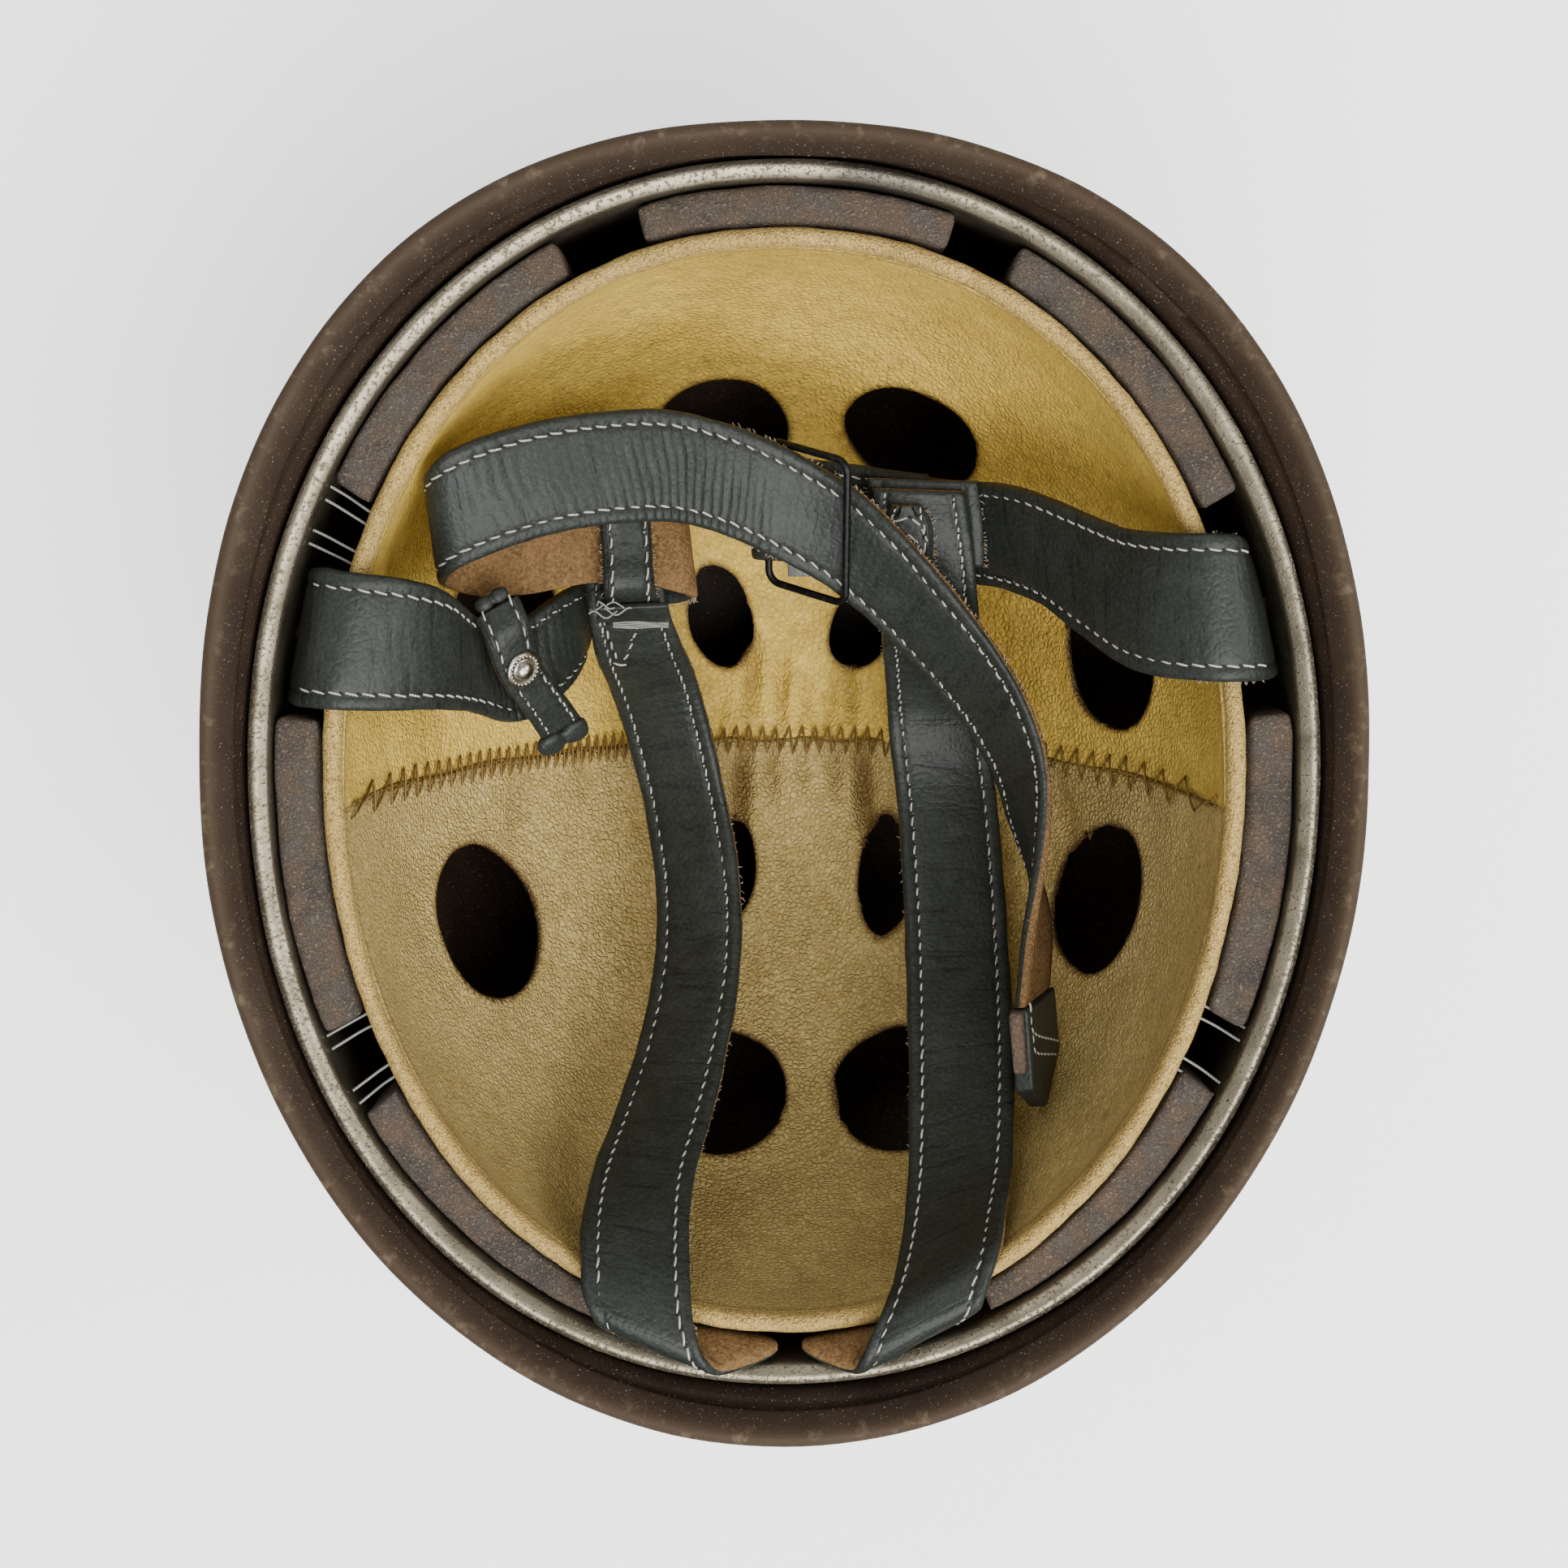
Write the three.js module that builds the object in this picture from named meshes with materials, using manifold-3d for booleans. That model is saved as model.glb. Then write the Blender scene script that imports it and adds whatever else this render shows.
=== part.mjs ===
// Paratrooper helmet: a pressed steel dome lying crown down, with its leather liner and straps inside.
// Millimetres. The origin is the middle of the crown's flat, where the helmet rests.
// +Z goes up to the opening, +Y to the helmet's front, and left means -X, as seen from above the opening.
import * as THREE from 'three';
import { mergeVertices } from 'three/addons/utils/BufferGeometryUtils.js';
import Module from 'manifold-3d';

const wasm = await Module();
wasm.setup();

// Overall sizes
const HEIGHT = 162;
const STEEL = 1.4;
const LEATHER = 1.6;
const STRAP = 2.8;
const THIN_STRAP = 2.2;
const GAP = 0.3;
const AROUND = 44;

// Ovals: half width at the widest line, reach to the front and to the rear of it, and squareness of each end
const LIP = { half: 120.8, front: 134.2, rear: 141.4, squareFront: 2.26, squareRear: 2.01 };
const WALL = { half: 114.3, front: 129.6, rear: 132.4, squareFront: 2.08, squareRear: 2.09 };
const BAND = { half: 112.2, front: 127.5, rear: 130.3, squareFront: 2.08, squareRear: 2.09 };
const HEM = { half: 97.2, front: 114.1, rear: 120.1, squareFront: 2.1, squareRear: 2.06 };
const WIDEST_Y = 3.6;

// Shell dome and its flare
const DOME_TOP = 140;
const DOME_POWER = 2.3;
const CROWN_FLAT = 0.085;
const DOME_ROWS = 8;

// How far the wall has flared out towards the lip at each height
const FLARE = [
  { z: 151, out: 0.04 },
  { z: 153.5, out: 0.12 },
  { z: 155.5, out: 0.24 },
  { z: 157.5, out: 0.42 },
  { z: 159, out: 0.66 },
  { z: 160.2, out: 0.9 },
];
const FLARE_ROWS_INSIDE = 3;

// The rolled edge, measured inwards from the lip: over the top, down the folded sheet and back at its raw edge
const ROLL = [
  { z: 160.9, inset: 0 },
  { z: 161.7, inset: 0.6 },
  { z: HEIGHT, inset: 1.8 },
  { z: 161.4, inset: 3.1 },
  { z: 159.8, inset: 4.8 },
  { z: 157.9, inset: 6.5 },
  { z: 157.1, inset: 5.9 },
];

// Leather liner bowl
const LINER_TOP = 146.5;
const LINER_LOW = 38;
const LINER_POWER = 2.2;
const LINER_ROWS = 8;
const HEM_ROLL = [
  { z: 149, inset: 3.9 },
  { z: 151, inset: 3.2 },
  { z: 151.7, inset: 1.9 },
  { z: 150.8, inset: 0.6 },
  { z: 148.6, inset: 0 },
  { z: 146.2, inset: 0.6 },
];
const HEM_WIDTH = 4.1;

// Steps of the searches for a height or a distance, and the step over which a slope is taken
const SEARCH_STEPS = 40;
const SLOPE_STEP = 0.5;
const START_SCALE = 0.5;
const WALL_REACH = 40;
const RIM_SCALE = 0.999;

// The seam crosses the bowl from side to side; its ends lie further back than its middle
const SEAM = { middle: 1.8, back: 5.5, gap: 0.3, steps: 12 };

// Ventilation holes: centre, size round the bowl and down its slope, and the turn of the oval
const HOLES = [
  { x: -16, y: 78, wide: 34, tall: 32, turn: 0 },
  { x: 31, y: 77, wide: 34, tall: 30, turn: -20 },
  { x: -68, y: 34, wide: 32, tall: 36, turn: 0 },
  { x: 78, y: 25, wide: 34, tall: 34, turn: 0 },
  { x: -16, y: 33, wide: 16, tall: 27, turn: 20 },
  { x: 21, y: 32, wide: 16, tall: 27, turn: -10 },
  { x: -72, y: -38, wide: 38, tall: 36, turn: 20 },
  { x: 75, y: -32, wide: 36, tall: 34, turn: -15 },
  { x: -15, y: -31, wide: 16, tall: 27, turn: -30 },
  { x: 25.5, y: -32, wide: 14, tall: 31, turn: 50 },
  { x: -16, y: -82, wide: 33, tall: 36, turn: 0 },
  { x: 28, y: -81, wide: 32, tall: 37, turn: 0 },
];
const HOLE_SIDES = 12;
const HOLE_CUT = 9;

// Band section, measured inwards from the band's oval: a sloping flange over an upright wall
const BAND_SECTION = [
  { inset: 0, z: 153.2 },
  { inset: 3.6, z: 151.8 },
  { inset: 4.2, z: 148.5 },
  { inset: 4.2, z: 122 },
  { inset: 2.8, z: 122 },
  { inset: 2.8, z: 147.6 },
  { inset: 2.2, z: 150.4 },
  { inset: 0, z: 151.6 },
];
const BAND_WALL_INSET = 4.2;

// Pads between band and liner: compass directions of their ends, in degrees from +X
const PADS = [
  { name: 'pad_front', from: 73, to: 104.5 },
  { name: 'pad_front_left', from: 113, to: 146.5 },
  { name: 'pad_side_left', from: 173, to: 209.5 },
  { name: 'pad_rear_left', from: 219, to: 252 },
  { name: 'pad_rear_right', from: 291, to: 323.5 },
  { name: 'pad_side_right', from: 331, to: 367.5 },
  { name: 'pad_front_right', from: 32.5, to: 66 },
];
const PAD_TOP = 150.6;
const PAD_BOTTOM = 124;
const PAD_STEPS = 6;

// Bolts through shell, band and strap ends: compass direction seen from the widest line's middle
const BOLTS = [
  { name: 'liner_bolt_left', x: -103, y: 33 },
  { name: 'liner_bolt_right', x: 102, y: 39 },
  { name: 'liner_bolt_rear_left', x: -14, y: -118.8 },
  { name: 'liner_bolt_rear_right', x: 15, y: -118.8 },
];
const BOLT = {
  z: 129, head: 8, dome: 2.2, crown: 6.4, crownRise: 1.5, shank: 2.3, hole: 2.8, holeReach: 30,
  nut: 5, nutThick: 1.8, slack: 1.4, sides: 12,
};

// Strap tables: a row per section. x, y, z is the middle of the strap. The cross line runs from the strap's left
// edge to its right edge as one walks along it, grain side up; swing is its compass direction, lean its rise.
const SIDE_LEFT = [
  { x: -102.4, y: 33, z: 121, swing: -101, lean: 0, width: 29 },
  { x: -102.4, y: 33, z: 137, swing: -101, lean: 0, width: 29 },
  { x: -100, y: 33, z: 148, swing: -100, lean: 0, width: 29.5 },
  { x: -96.5, y: 33, z: 154, swing: -98, lean: 0, width: 29.5 },
  { x: -90.5, y: 32.5, z: 155.5, swing: -98, lean: 0, width: 29 },
  { x: -80, y: 31.5, z: 151.5, swing: -95, lean: -4, width: 28 },
  { x: -72.5, y: 30, z: 143, swing: -92, lean: -8, width: 26 },
  { x: -67.5, y: 26.5, z: 129, swing: -84, lean: -15, width: 24 },
  { x: -63, y: 23.5, z: 118.5, swing: -80, lean: -10, width: 22.5 },
  { x: -58, y: 24, z: 111, swing: -78, lean: 0, width: 21.5 },
  { x: -51, y: 29, z: 103, swing: -84, lean: -4, width: 21.5 },
  { x: -44.7, y: 34.5, z: 92.2, swing: -104, lean: -10, width: 22 },
];
const SIDE_RIGHT = [
  { x: 101, y: 39, z: 121, swing: 104, lean: 0, width: 30 },
  { x: 101, y: 39, z: 137, swing: 104, lean: 0, width: 30 },
  { x: 98.8, y: 39, z: 148, swing: 103, lean: 0, width: 30.5 },
  { x: 95.5, y: 39.3, z: 154.5, swing: 99, lean: 0, width: 31 },
  { x: 89.5, y: 39.5, z: 156, swing: 96, lean: 0, width: 31 },
  { x: 81.5, y: 39.7, z: 152, swing: 92, lean: 0, width: 30.5 },
  { x: 73, y: 41.2, z: 142, swing: 91, lean: -5, width: 29.5 },
  { x: 64.5, y: 46, z: 127.5, swing: 94, lean: -8, width: 28 },
  { x: 54.5, y: 51.8, z: 112, swing: 100, lean: -3, width: 26 },
  { x: 44.5, y: 54, z: 97.5, swing: 101, lean: 5, width: 24.5 },
  { x: 35, y: 54.8, z: 90.5, swing: 98, lean: 4, width: 24.5 },
  { x: 26, y: 55.6, z: 88.8, swing: 96, lean: 0, width: 24.5 },
];
const REAR_LEFT = [
  { x: -13.5, y: -118.4, z: 121, swing: -8, lean: 15, width: 24 },
  { x: -18, y: -117.6, z: 137, swing: -12, lean: 15, width: 24.5 },
  { x: -17.5, y: -117.2, z: 148.5, swing: -10, lean: 9, width: 33 },
  { x: -25.4, y: -117.8, z: 155.6, swing: -21, lean: 5, width: 27.5 },
  { x: -28.5, y: -114.5, z: 158.8, swing: -23, lean: 0, width: 26.5 },
  { x: -30.5, y: -110, z: 158, swing: -22, lean: 0, width: 26 },
  { x: -31.5, y: -104, z: 154.3, swing: -17, lean: -3, width: 24.5 },
  { x: -32, y: -94, z: 141.5, swing: -9, lean: -6, width: 23.5 },
  { x: -31, y: -86.5, z: 127, swing: -5, lean: 0, width: 22.5 },
  { x: -27.5, y: -77.5, z: 110, swing: 0, lean: 12, width: 22.5 },
  { x: -24, y: -66.5, z: 96, swing: 3, lean: 20, width: 22.5 },
  { x: -20.7, y: -49, z: 81, swing: 3, lean: 24, width: 22.5 },
  { x: -20.7, y: -31.5, z: 71, swing: 2, lean: 24, width: 22.5 },
  { x: -24.3, y: -9.5, z: 66, swing: 8, lean: 24, width: 22 },
  { x: -29.5, y: 13.5, z: 75, swing: 12, lean: 18, width: 21.5 },
  { x: -33.6, y: 28, z: 93.5, swing: 10, lean: 4, width: 20 },
  { x: -35.5, y: 37, z: 101.2, swing: 8, lean: 0, width: 18.5 },
  { x: -36.6, y: 46, z: 102, swing: 6, lean: 0, width: 18 },
];
const REAR_RIGHT = [
  { x: 14.5, y: -118.4, z: 121, swing: 8, lean: -15, width: 24 },
  { x: 19, y: -117.3, z: 137, swing: 13, lean: -15, width: 25 },
  { x: 20, y: -116.6, z: 148.5, swing: 11, lean: -9, width: 33 },
  { x: 27, y: -116.1, z: 155.8, swing: 25, lean: -6, width: 29 },
  { x: 29, y: -113, z: 159.2, swing: 27, lean: 0, width: 29 },
  { x: 31, y: -108.5, z: 158.5, swing: 28, lean: 0, width: 28.5 },
  { x: 33.5, y: -103.5, z: 155, swing: 29, lean: 0, width: 28 },
  { x: 36.5, y: -97, z: 142, swing: 27, lean: 0, width: 26 },
  { x: 39, y: -89, z: 127, swing: 20, lean: 0, width: 25 },
  { x: 40.4, y: -75.5, z: 111, swing: 12, lean: 0, width: 24.5 },
  { x: 41, y: -61.5, z: 97, swing: 4, lean: 0, width: 24.5 },
  { x: 41, y: -40.5, z: 80, swing: 0, lean: -3, width: 24.5 },
  { x: 39.5, y: -12.5, z: 67, swing: -1, lean: -5, width: 24.5 },
  { x: 37, y: 7.5, z: 67, swing: -1, lean: -6, width: 24 },
  { x: 35, y: 25, z: 80, swing: -1, lean: -4, width: 23.5 },
  { x: 33, y: 38, z: 98, swing: -1, lean: 0, width: 23 },
  { x: 31.5, y: 50, z: 104, swing: -2, lean: 0, width: 23 },
  { x: 30, y: 64, z: 106, swing: -2, lean: 0, width: 21 },
];
const CHIN = [
  { x: -37, y: 49.5, z: 97.3, swing: -86, lean: 0, width: 24.5 },
  { x: -27.5, y: 50, z: 97.4, swing: -85, lean: 0, width: 24.5 },
  { x: -23.6, y: 51, z: 99, swing: -84, lean: 0, width: 24.5 },
  { x: -22.4, y: 51.8, z: 102, swing: -83, lean: 0, width: 24.5 },
  { x: -24.6, y: 53, z: 105.4, swing: -83, lean: 0, width: 24.5 },
  { x: -33, y: 55, z: 106.5, swing: -85, lean: -1, width: 24.5 },
  { x: -45, y: 55, z: 111.5, swing: -85, lean: -7, width: 24.5 },
  { x: -57.5, y: 53, z: 119.5, swing: -88, lean: -12, width: 24.5 },
  { x: -67, y: 52.7, z: 126.5, swing: -90, lean: -15, width: 24.5 },
  { x: -72, y: 53.8, z: 131.5, swing: -87, lean: -16, width: 24.5 },
  { x: -74, y: 55.3, z: 137, swing: -85, lean: -17, width: 24.5 },
  { x: -71.3, y: 58.5, z: 141.3, swing: -82, lean: -18, width: 24.5 },
  { x: -65, y: 61.8, z: 141.8, swing: -77, lean: -18, width: 24.5 },
  { x: -51.5, y: 66.3, z: 137.5, swing: -76, lean: -14, width: 24.5 },
  { x: -37, y: 68.7, z: 131, swing: -79, lean: -8, width: 24.5 },
  { x: -24.7, y: 69, z: 125, swing: -85, lean: -6, width: 24.5 },
  { x: -12.4, y: 66, z: 119.5, swing: -93, lean: -8, width: 24.5 },
  { x: 0, y: 60.5, z: 115, swing: -99, lean: -15, width: 24.5 },
  { x: 11.5, y: 54, z: 113, swing: -104, lean: -22, width: 24.5 },
  { x: 21.2, y: 46, z: 111.5, swing: -112, lean: -34, width: 24.5 },
  { x: 31, y: 35.8, z: 108, swing: -118, lean: -42, width: 24.5 },
  { x: 41, y: 24, z: 103.5, swing: -122, lean: -46, width: 24.5 },
  { x: 49, y: 12.5, z: 100, swing: -128, lean: -52, width: 24.5 },
  { x: 54.5, y: 0, z: 97.5, swing: -138, lean: -62, width: 24.5 },
  { x: 56.5, y: -13, z: 96.5, swing: -155, lean: -76, width: 24.5 },
  { x: 58.3, y: -34, z: 99, swing: -170, lean: -104, width: 24.5 },
  { x: 56.6, y: -51, z: 107.5, swing: -172, lean: -110, width: 24 },
];
const BUCKLE_STRAP = [
  { x: 34.5, y: 55, z: 94.3, swing: 97, lean: 4, width: 25.5 },
  { x: 26, y: 56, z: 93.6, swing: 96, lean: 6, width: 25.5 },
  { x: 18, y: 57.4, z: 95.8, swing: 95, lean: 12, width: 25.5 },
  { x: 10, y: 58.6, z: 100, swing: 92, lean: 19, width: 25.5 },
  { x: 4, y: 59.4, z: 104.2, swing: 90, lean: 23.5, width: 25.5 },
  { x: -0.4, y: 59.8, z: 107.7, swing: 90, lean: 23.5, width: 25.5 },
  { x: -3.2, y: 59.9, z: 108.8, swing: 90, lean: 23.5, width: 25.5 },
  { x: -5.7, y: 59.9, z: 107.6, swing: 90, lean: 23.5, width: 25.5 },
  { x: -6.2, y: 59.9, z: 105.2, swing: 90, lean: 23.5, width: 25.5 },
  { x: -4.3, y: 59.8, z: 103.2, swing: 90, lean: 23.5, width: 25.5 },
  { x: 0, y: 59.5, z: 101.2, swing: 90, lean: 23.5, width: 25.5 },
  { x: 4, y: 59, z: 98, swing: 90, lean: 23, width: 25.5 },
];
const TONGUE = [
  { x: 27.5, y: 47, z: 106.1, swing: -2, lean: 0, width: 12 },
  { x: 27.5, y: 52, z: 107.8, swing: -2, lean: 0, width: 12 },
  { x: 27.5, y: 57, z: 108.6, swing: -2, lean: 0, width: 11 },
  { x: 27.4, y: 60.5, z: 109.1, swing: -2, lean: 0, width: 7 },
];
const BACKING = [
  { x: 32.5, y: 47, z: 100, swing: -2, lean: 0, width: 26 },
  { x: 32, y: 56, z: 102.3, swing: -2, lean: 0, width: 26 },
  { x: 31, y: 66.3, z: 103.7, swing: -2, lean: 0, width: 25 },
];
const KEEPER_TAB = [
  { x: -34.5, y: 34.5, z: 103.2, swing: 2, lean: -6, width: 12 },
  { x: -34.5, y: 38.5, z: 106.1, swing: 2, lean: -12, width: 12 },
  { x: -34.5, y: 43, z: 112.1, swing: 2, lean: -19, width: 12 },
  { x: -34.8, y: 50, z: 111.3, swing: 2, lean: -22, width: 12 },
  { x: -35.2, y: 57, z: 111.4, swing: 2, lean: -22, width: 12 },
  { x: -35.5, y: 63, z: 111.9, swing: 2, lean: -22, width: 11 },
];
const SNAP_TAB = [
  { x: -62, y: 38.5, z: 131.8, swing: -150, lean: 10, width: 10.5 },
  { x: -59.7, y: 33.5, z: 132.6, swing: -151, lean: 17, width: 10.5 },
  { x: -57.8, y: 25.6, z: 127.5, swing: -152, lean: 28, width: 10.5 },
  { x: -53.2, y: 17.5, z: 120, swing: -152, lean: 26, width: 10.5 },
  { x: -50, y: 11.5, z: 113.5, swing: -152, lean: 22, width: 10.5 },
];

// Buckle: a wire frame whose left bar lies under the chin strap and whose right bar lies over it
const BUCKLE = {
  left: [-3.4, 59.2, 106], right: [13.8, 54.2, 117.3], length: 34.4, wire: 1.7, corner: 3, swing: 95, lean: 20,
  cornerSteps: 3, sides: 6,
};
const BUCKLE_PLATE = {
  x: 2.6, y: 57, z: 110.4, run: [17, -4, 2], length: 26, width: 5, thick: 1, swing: 94, lean: 18,
};

// Small parts
const STUD_SIDES = 16;
const STUD_PROFILE = [
  { radius: 0, height: 0 },
  { radius: 4.1, height: 0 },
  { radius: 4.1, height: 0.8 },
  { radius: 3.1, height: 1.4 },
  { radius: 2.2, height: 1 },
  { radius: 1.8, height: 2.2 },
  { radius: 0, height: 2.6 },
];
// Rolled ends of the snap tab: which of its sections they follow, on which side, and their sizes
const SNAP_FOLDS = [
  { name: 'snap_fold_upper', section: 0, away: -1, length: 8, width: 3.6, thick: 3.4 },
  { name: 'snap_fold_lower', section: 2, away: 1, length: 13, width: 6, thick: 3.6 },
];
const CROSS_BAND = { width: 5, length: 16, thick: 1.6 };
const TIP = { length: 25, width: 25, thick: 4.6 };
// The point's outline in shares of its length and width
const TIP_OUTLINE = [
  { along: 0, across: -0.5 },
  { along: 0.75, across: -0.5 },
  { along: 1, across: -0.1 },
  { along: 0.6, across: 0.5 },
  { along: 0, across: 0.5 },
];
const TIP_BAR = { length: 14, width: 3, thick: 3 };

const finish = {
  steel: new THREE.MeshStandardMaterial({ color: 0x3f342d, roughness: 0.65, metalness: 0.2 }),
  aluminium: new THREE.MeshStandardMaterial({ color: 0xb9b7b0, roughness: 0.4, metalness: 1 }),
  pad: new THREE.MeshStandardMaterial({ color: 0x65595a, roughness: 0.95, metalness: 0 }),
  liner: new THREE.MeshStandardMaterial({ color: 0xb19a58, roughness: 0.6, metalness: 0 }),
  strap: new THREE.MeshStandardMaterial({ color: 0x3a3e3e, roughness: 0.5, metalness: 0 }),
  raw: new THREE.MeshStandardMaterial({ color: 0x87694f, roughness: 0.95, metalness: 0 }),
  blackened: new THREE.MeshStandardMaterial({ color: 0x17181a, roughness: 0.45, metalness: 0.8 }),
  chrome: new THREE.MeshStandardMaterial({ color: 0xc9c9c6, roughness: 0.15, metalness: 1 }),
};

// Ovals and skins

function radians(degrees) {
  return THREE.MathUtils.degToRad(degrees);
}

function ovalReach(angle, oval, inset) {
  const across = Math.abs(Math.cos(angle)) / (oval.half - inset);
  const ahead = Math.sin(angle) > 0;
  const along = Math.abs(Math.sin(angle)) / ((ahead ? oval.front : oval.rear) - inset);
  const square = ahead ? oval.squareFront : oval.squareRear;
  return (across ** square + along ** square) ** (-1 / square);
}

function ovalPoint(angle, oval, inset, z, scale = 1) {
  const reach = ovalReach(angle, oval, inset) * scale;
  return new THREE.Vector3(Math.cos(angle) * reach, WIDEST_Y * scale + Math.sin(angle) * reach, z);
}

function ovalRow(oval, inset, z, scale = 1) {
  const row = [];
  for (let i = 0; i < AROUND; i += 1) {
    row.push(ovalPoint((2 * Math.PI * i) / AROUND, oval, inset, z, scale));
  }
  return row;
}

function mixOvals(a, b, share) {
  const mixed = {};
  for (const key of Object.keys(a)) {
    mixed[key] = THREE.MathUtils.lerp(a[key], b[key], share);
  }
  return mixed;
}

// A rounded dome or bowl: rows from near the pole out to the full oval
function domeRows(oval, inset, low, top, power, count) {
  const rows = [];
  for (let i = 1; i <= count; i += 1) {
    const turn = (Math.PI / 2) * (i / count);
    const scale = Math.sin(turn) ** (2 / power);
    const rise = 1 - Math.cos(turn) ** (2 / power);
    rows.push(ovalRow(oval, inset, low + (top - low) * rise, scale));
  }
  return rows;
}

// A closed body over rows of points. Each row closes on itself; the ends meet each other or are capped.
function skin(rows, wrap) {
  const size = rows[0].length;
  const positions = rows.flat().flatMap((point) => [point.x, point.y, point.z]);
  const index = [];
  const rowCount = wrap ? rows.length : rows.length - 1;
  for (let r = 0; r < rowCount; r += 1) {
    const next = (r + 1) % rows.length;
    for (let i = 0; i < size; i += 1) {
      const j = (i + 1) % size;
      const [a, b, c, d] = [r * size + i, r * size + j, next * size + j, next * size + i];
      index.push(a, b, c, a, c, d);
    }
  }
  if (!wrap) {
    const last = (rows.length - 1) * size;
    for (const [start, turned] of [[0, true], [last, false]]) {
      for (let i = 1; i < size - 1; i += 1) {
        index.push(start, start + (turned ? i + 1 : i), start + (turned ? i : i + 1));
      }
    }
  }
  const geometry = new THREE.BufferGeometry();
  geometry.setAttribute('position', new THREE.Float32BufferAttribute(positions, 3));
  geometry.setIndex(index);
  return facingOut(geometry);
}

function signedVolume(geometry) {
  const position = geometry.getAttribute('position');
  const corner = [new THREE.Vector3(), new THREE.Vector3(), new THREE.Vector3()];
  let volume = 0;
  for (let i = 0; i < geometry.index.count; i += 3) {
    corner.forEach((point, k) => point.fromBufferAttribute(position, geometry.index.getX(i + k)));
    volume += corner[0].dot(corner[1].clone().cross(corner[2])) / 6;
  }
  return volume;
}

function facingOut(geometry) {
  if (signedVolume(geometry) < 0) {
    const order = Array.from(geometry.index.array);
    for (let i = 0; i < order.length; i += 3) {
      [order[i + 1], order[i + 2]] = [order[i + 2], order[i + 1]];
    }
    geometry.setIndex(order);
  }
  return geometry;
}

// Solids for cutting and joining

function toSolid(geometry) {
  const bare = geometry.clone();
  bare.deleteAttribute('normal');
  bare.deleteAttribute('uv');
  const merged = mergeVertices(bare);
  return new wasm.Manifold(new wasm.Mesh({
    numProp: 3,
    vertProperties: new Float32Array(merged.getAttribute('position').array),
    triVerts: new Uint32Array(merged.index.array),
  }));
}

function toGeometry(solid) {
  const cut = solid.getMesh();
  const geometry = new THREE.BufferGeometry();
  geometry.setAttribute('position', new THREE.BufferAttribute(cut.vertProperties, 3));
  geometry.setIndex(new THREE.BufferAttribute(cut.triVerts, 1));
  return geometry;
}

const helmet = new THREE.Group();
helmet.name = 'paratrooper_helmet';

function addPiece(name, geometry, material, parent = helmet) {
  const mesh = new THREE.Mesh(geometry, material);
  mesh.name = name;
  geometry.computeVertexNormals();
  parent.add(mesh);
  return mesh;
}

// A lathe profile of radius and height pairs, closed on the axis, turned to point along a direction
function turned(profile, sides, place, along) {
  const points = profile.map(([radius, height]) => new THREE.Vector2(radius, height));
  const geometry = new THREE.LatheGeometry(points, sides);
  const turn = new THREE.Quaternion().setFromUnitVectors(new THREE.Vector3(0, 1, 0), along.clone().normalize());
  geometry.applyQuaternion(turn);
  geometry.translate(place.x, place.y, place.z);
  geometry.deleteAttribute('normal');
  geometry.deleteAttribute('uv');
  return facingOut(mergeVertices(geometry));
}

// Straps

function crossLine(row) {
  const swing = radians(row.swing);
  const lean = radians(row.lean);
  return new THREE.Vector3(
    Math.cos(swing) * Math.cos(lean),
    Math.sin(swing) * Math.cos(lean),
    Math.sin(lean),
  );
}

function sampleStrap(rows, steps) {
  const path = new THREE.CatmullRomCurve3(rows.map((row) => new THREE.Vector3(row.x, row.y, row.z)));
  const pose = new THREE.CatmullRomCurve3(
    rows.map((row) => new THREE.Vector3(row.swing, row.lean, row.width)), false, 'catmullrom', 0.5,
  );
  const samples = [];
  for (let i = 0; i <= steps; i += 1) {
    const [swing, lean, width] = pose.getPoint(i / steps).toArray();
    const across = crossLine({ swing, lean });
    const grain = across.clone().cross(path.getTangent(i / steps)).normalize();
    samples.push({ middle: path.getPoint(i / steps), across, grain, width });
  }
  return samples;
}

function strapGeometry(rows, thickness, stepsPerRow) {
  const sections = sampleStrap(rows, (rows.length - 1) * stepsPerRow).map(({ middle, across, grain, width }) => {
    const corners = [[-1, -1], [1, -1], [1, 1], [-1, 1]];
    return corners.map(([side, face]) => middle.clone()
      .addScaledVector(across, (side * width) / 2)
      .addScaledVector(grain, (face * thickness) / 2));
  });
  return skin(sections, false);
}

// Shell: dome, flared wall and rolled edge outside, then the same wall inside

function shellGeometry() {
  const rows = [];
  const outerDome = domeRows(WALL, 0, 0, DOME_TOP, DOME_POWER, DOME_ROWS);
  rows.push(ovalRow(WALL, 0, 0, CROWN_FLAT), ...outerDome);
  for (const { z, out } of FLARE) {
    rows.push(ovalRow(mixOvals(WALL, LIP, out), 0, z));
  }
  for (const { z, inset } of ROLL) {
    rows.push(ovalRow(LIP, inset, z));
  }
  for (const { z, out } of FLARE.slice(0, FLARE_ROWS_INSIDE).reverse()) {
    rows.push(ovalRow(mixOvals(WALL, LIP, out), STEEL, z));
  }
  const innerDome = domeRows(WALL, STEEL, STEEL, DOME_TOP, DOME_POWER, DOME_ROWS).reverse();
  rows.push(...innerDome, ovalRow(WALL, 0, STEEL, CROWN_FLAT));
  return skin(rows, false);
}

// Liner: the bowl's inside, its rounded hem and its outside

function linerGeometry() {
  const rows = [];
  rows.push(...domeRows(HEM, HEM_WIDTH, LINER_LOW, LINER_TOP, LINER_POWER, LINER_ROWS));
  for (const { z, inset } of HEM_ROLL) {
    rows.push(ovalRow(HEM, inset, z));
  }
  const outside = domeRows(
    HEM, HEM_WIDTH - LEATHER, LINER_LOW - LEATHER, LINER_TOP - LEATHER, LINER_POWER, LINER_ROWS,
  );
  rows.push(...outside.reverse());
  return skin(rows, false);
}

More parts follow.
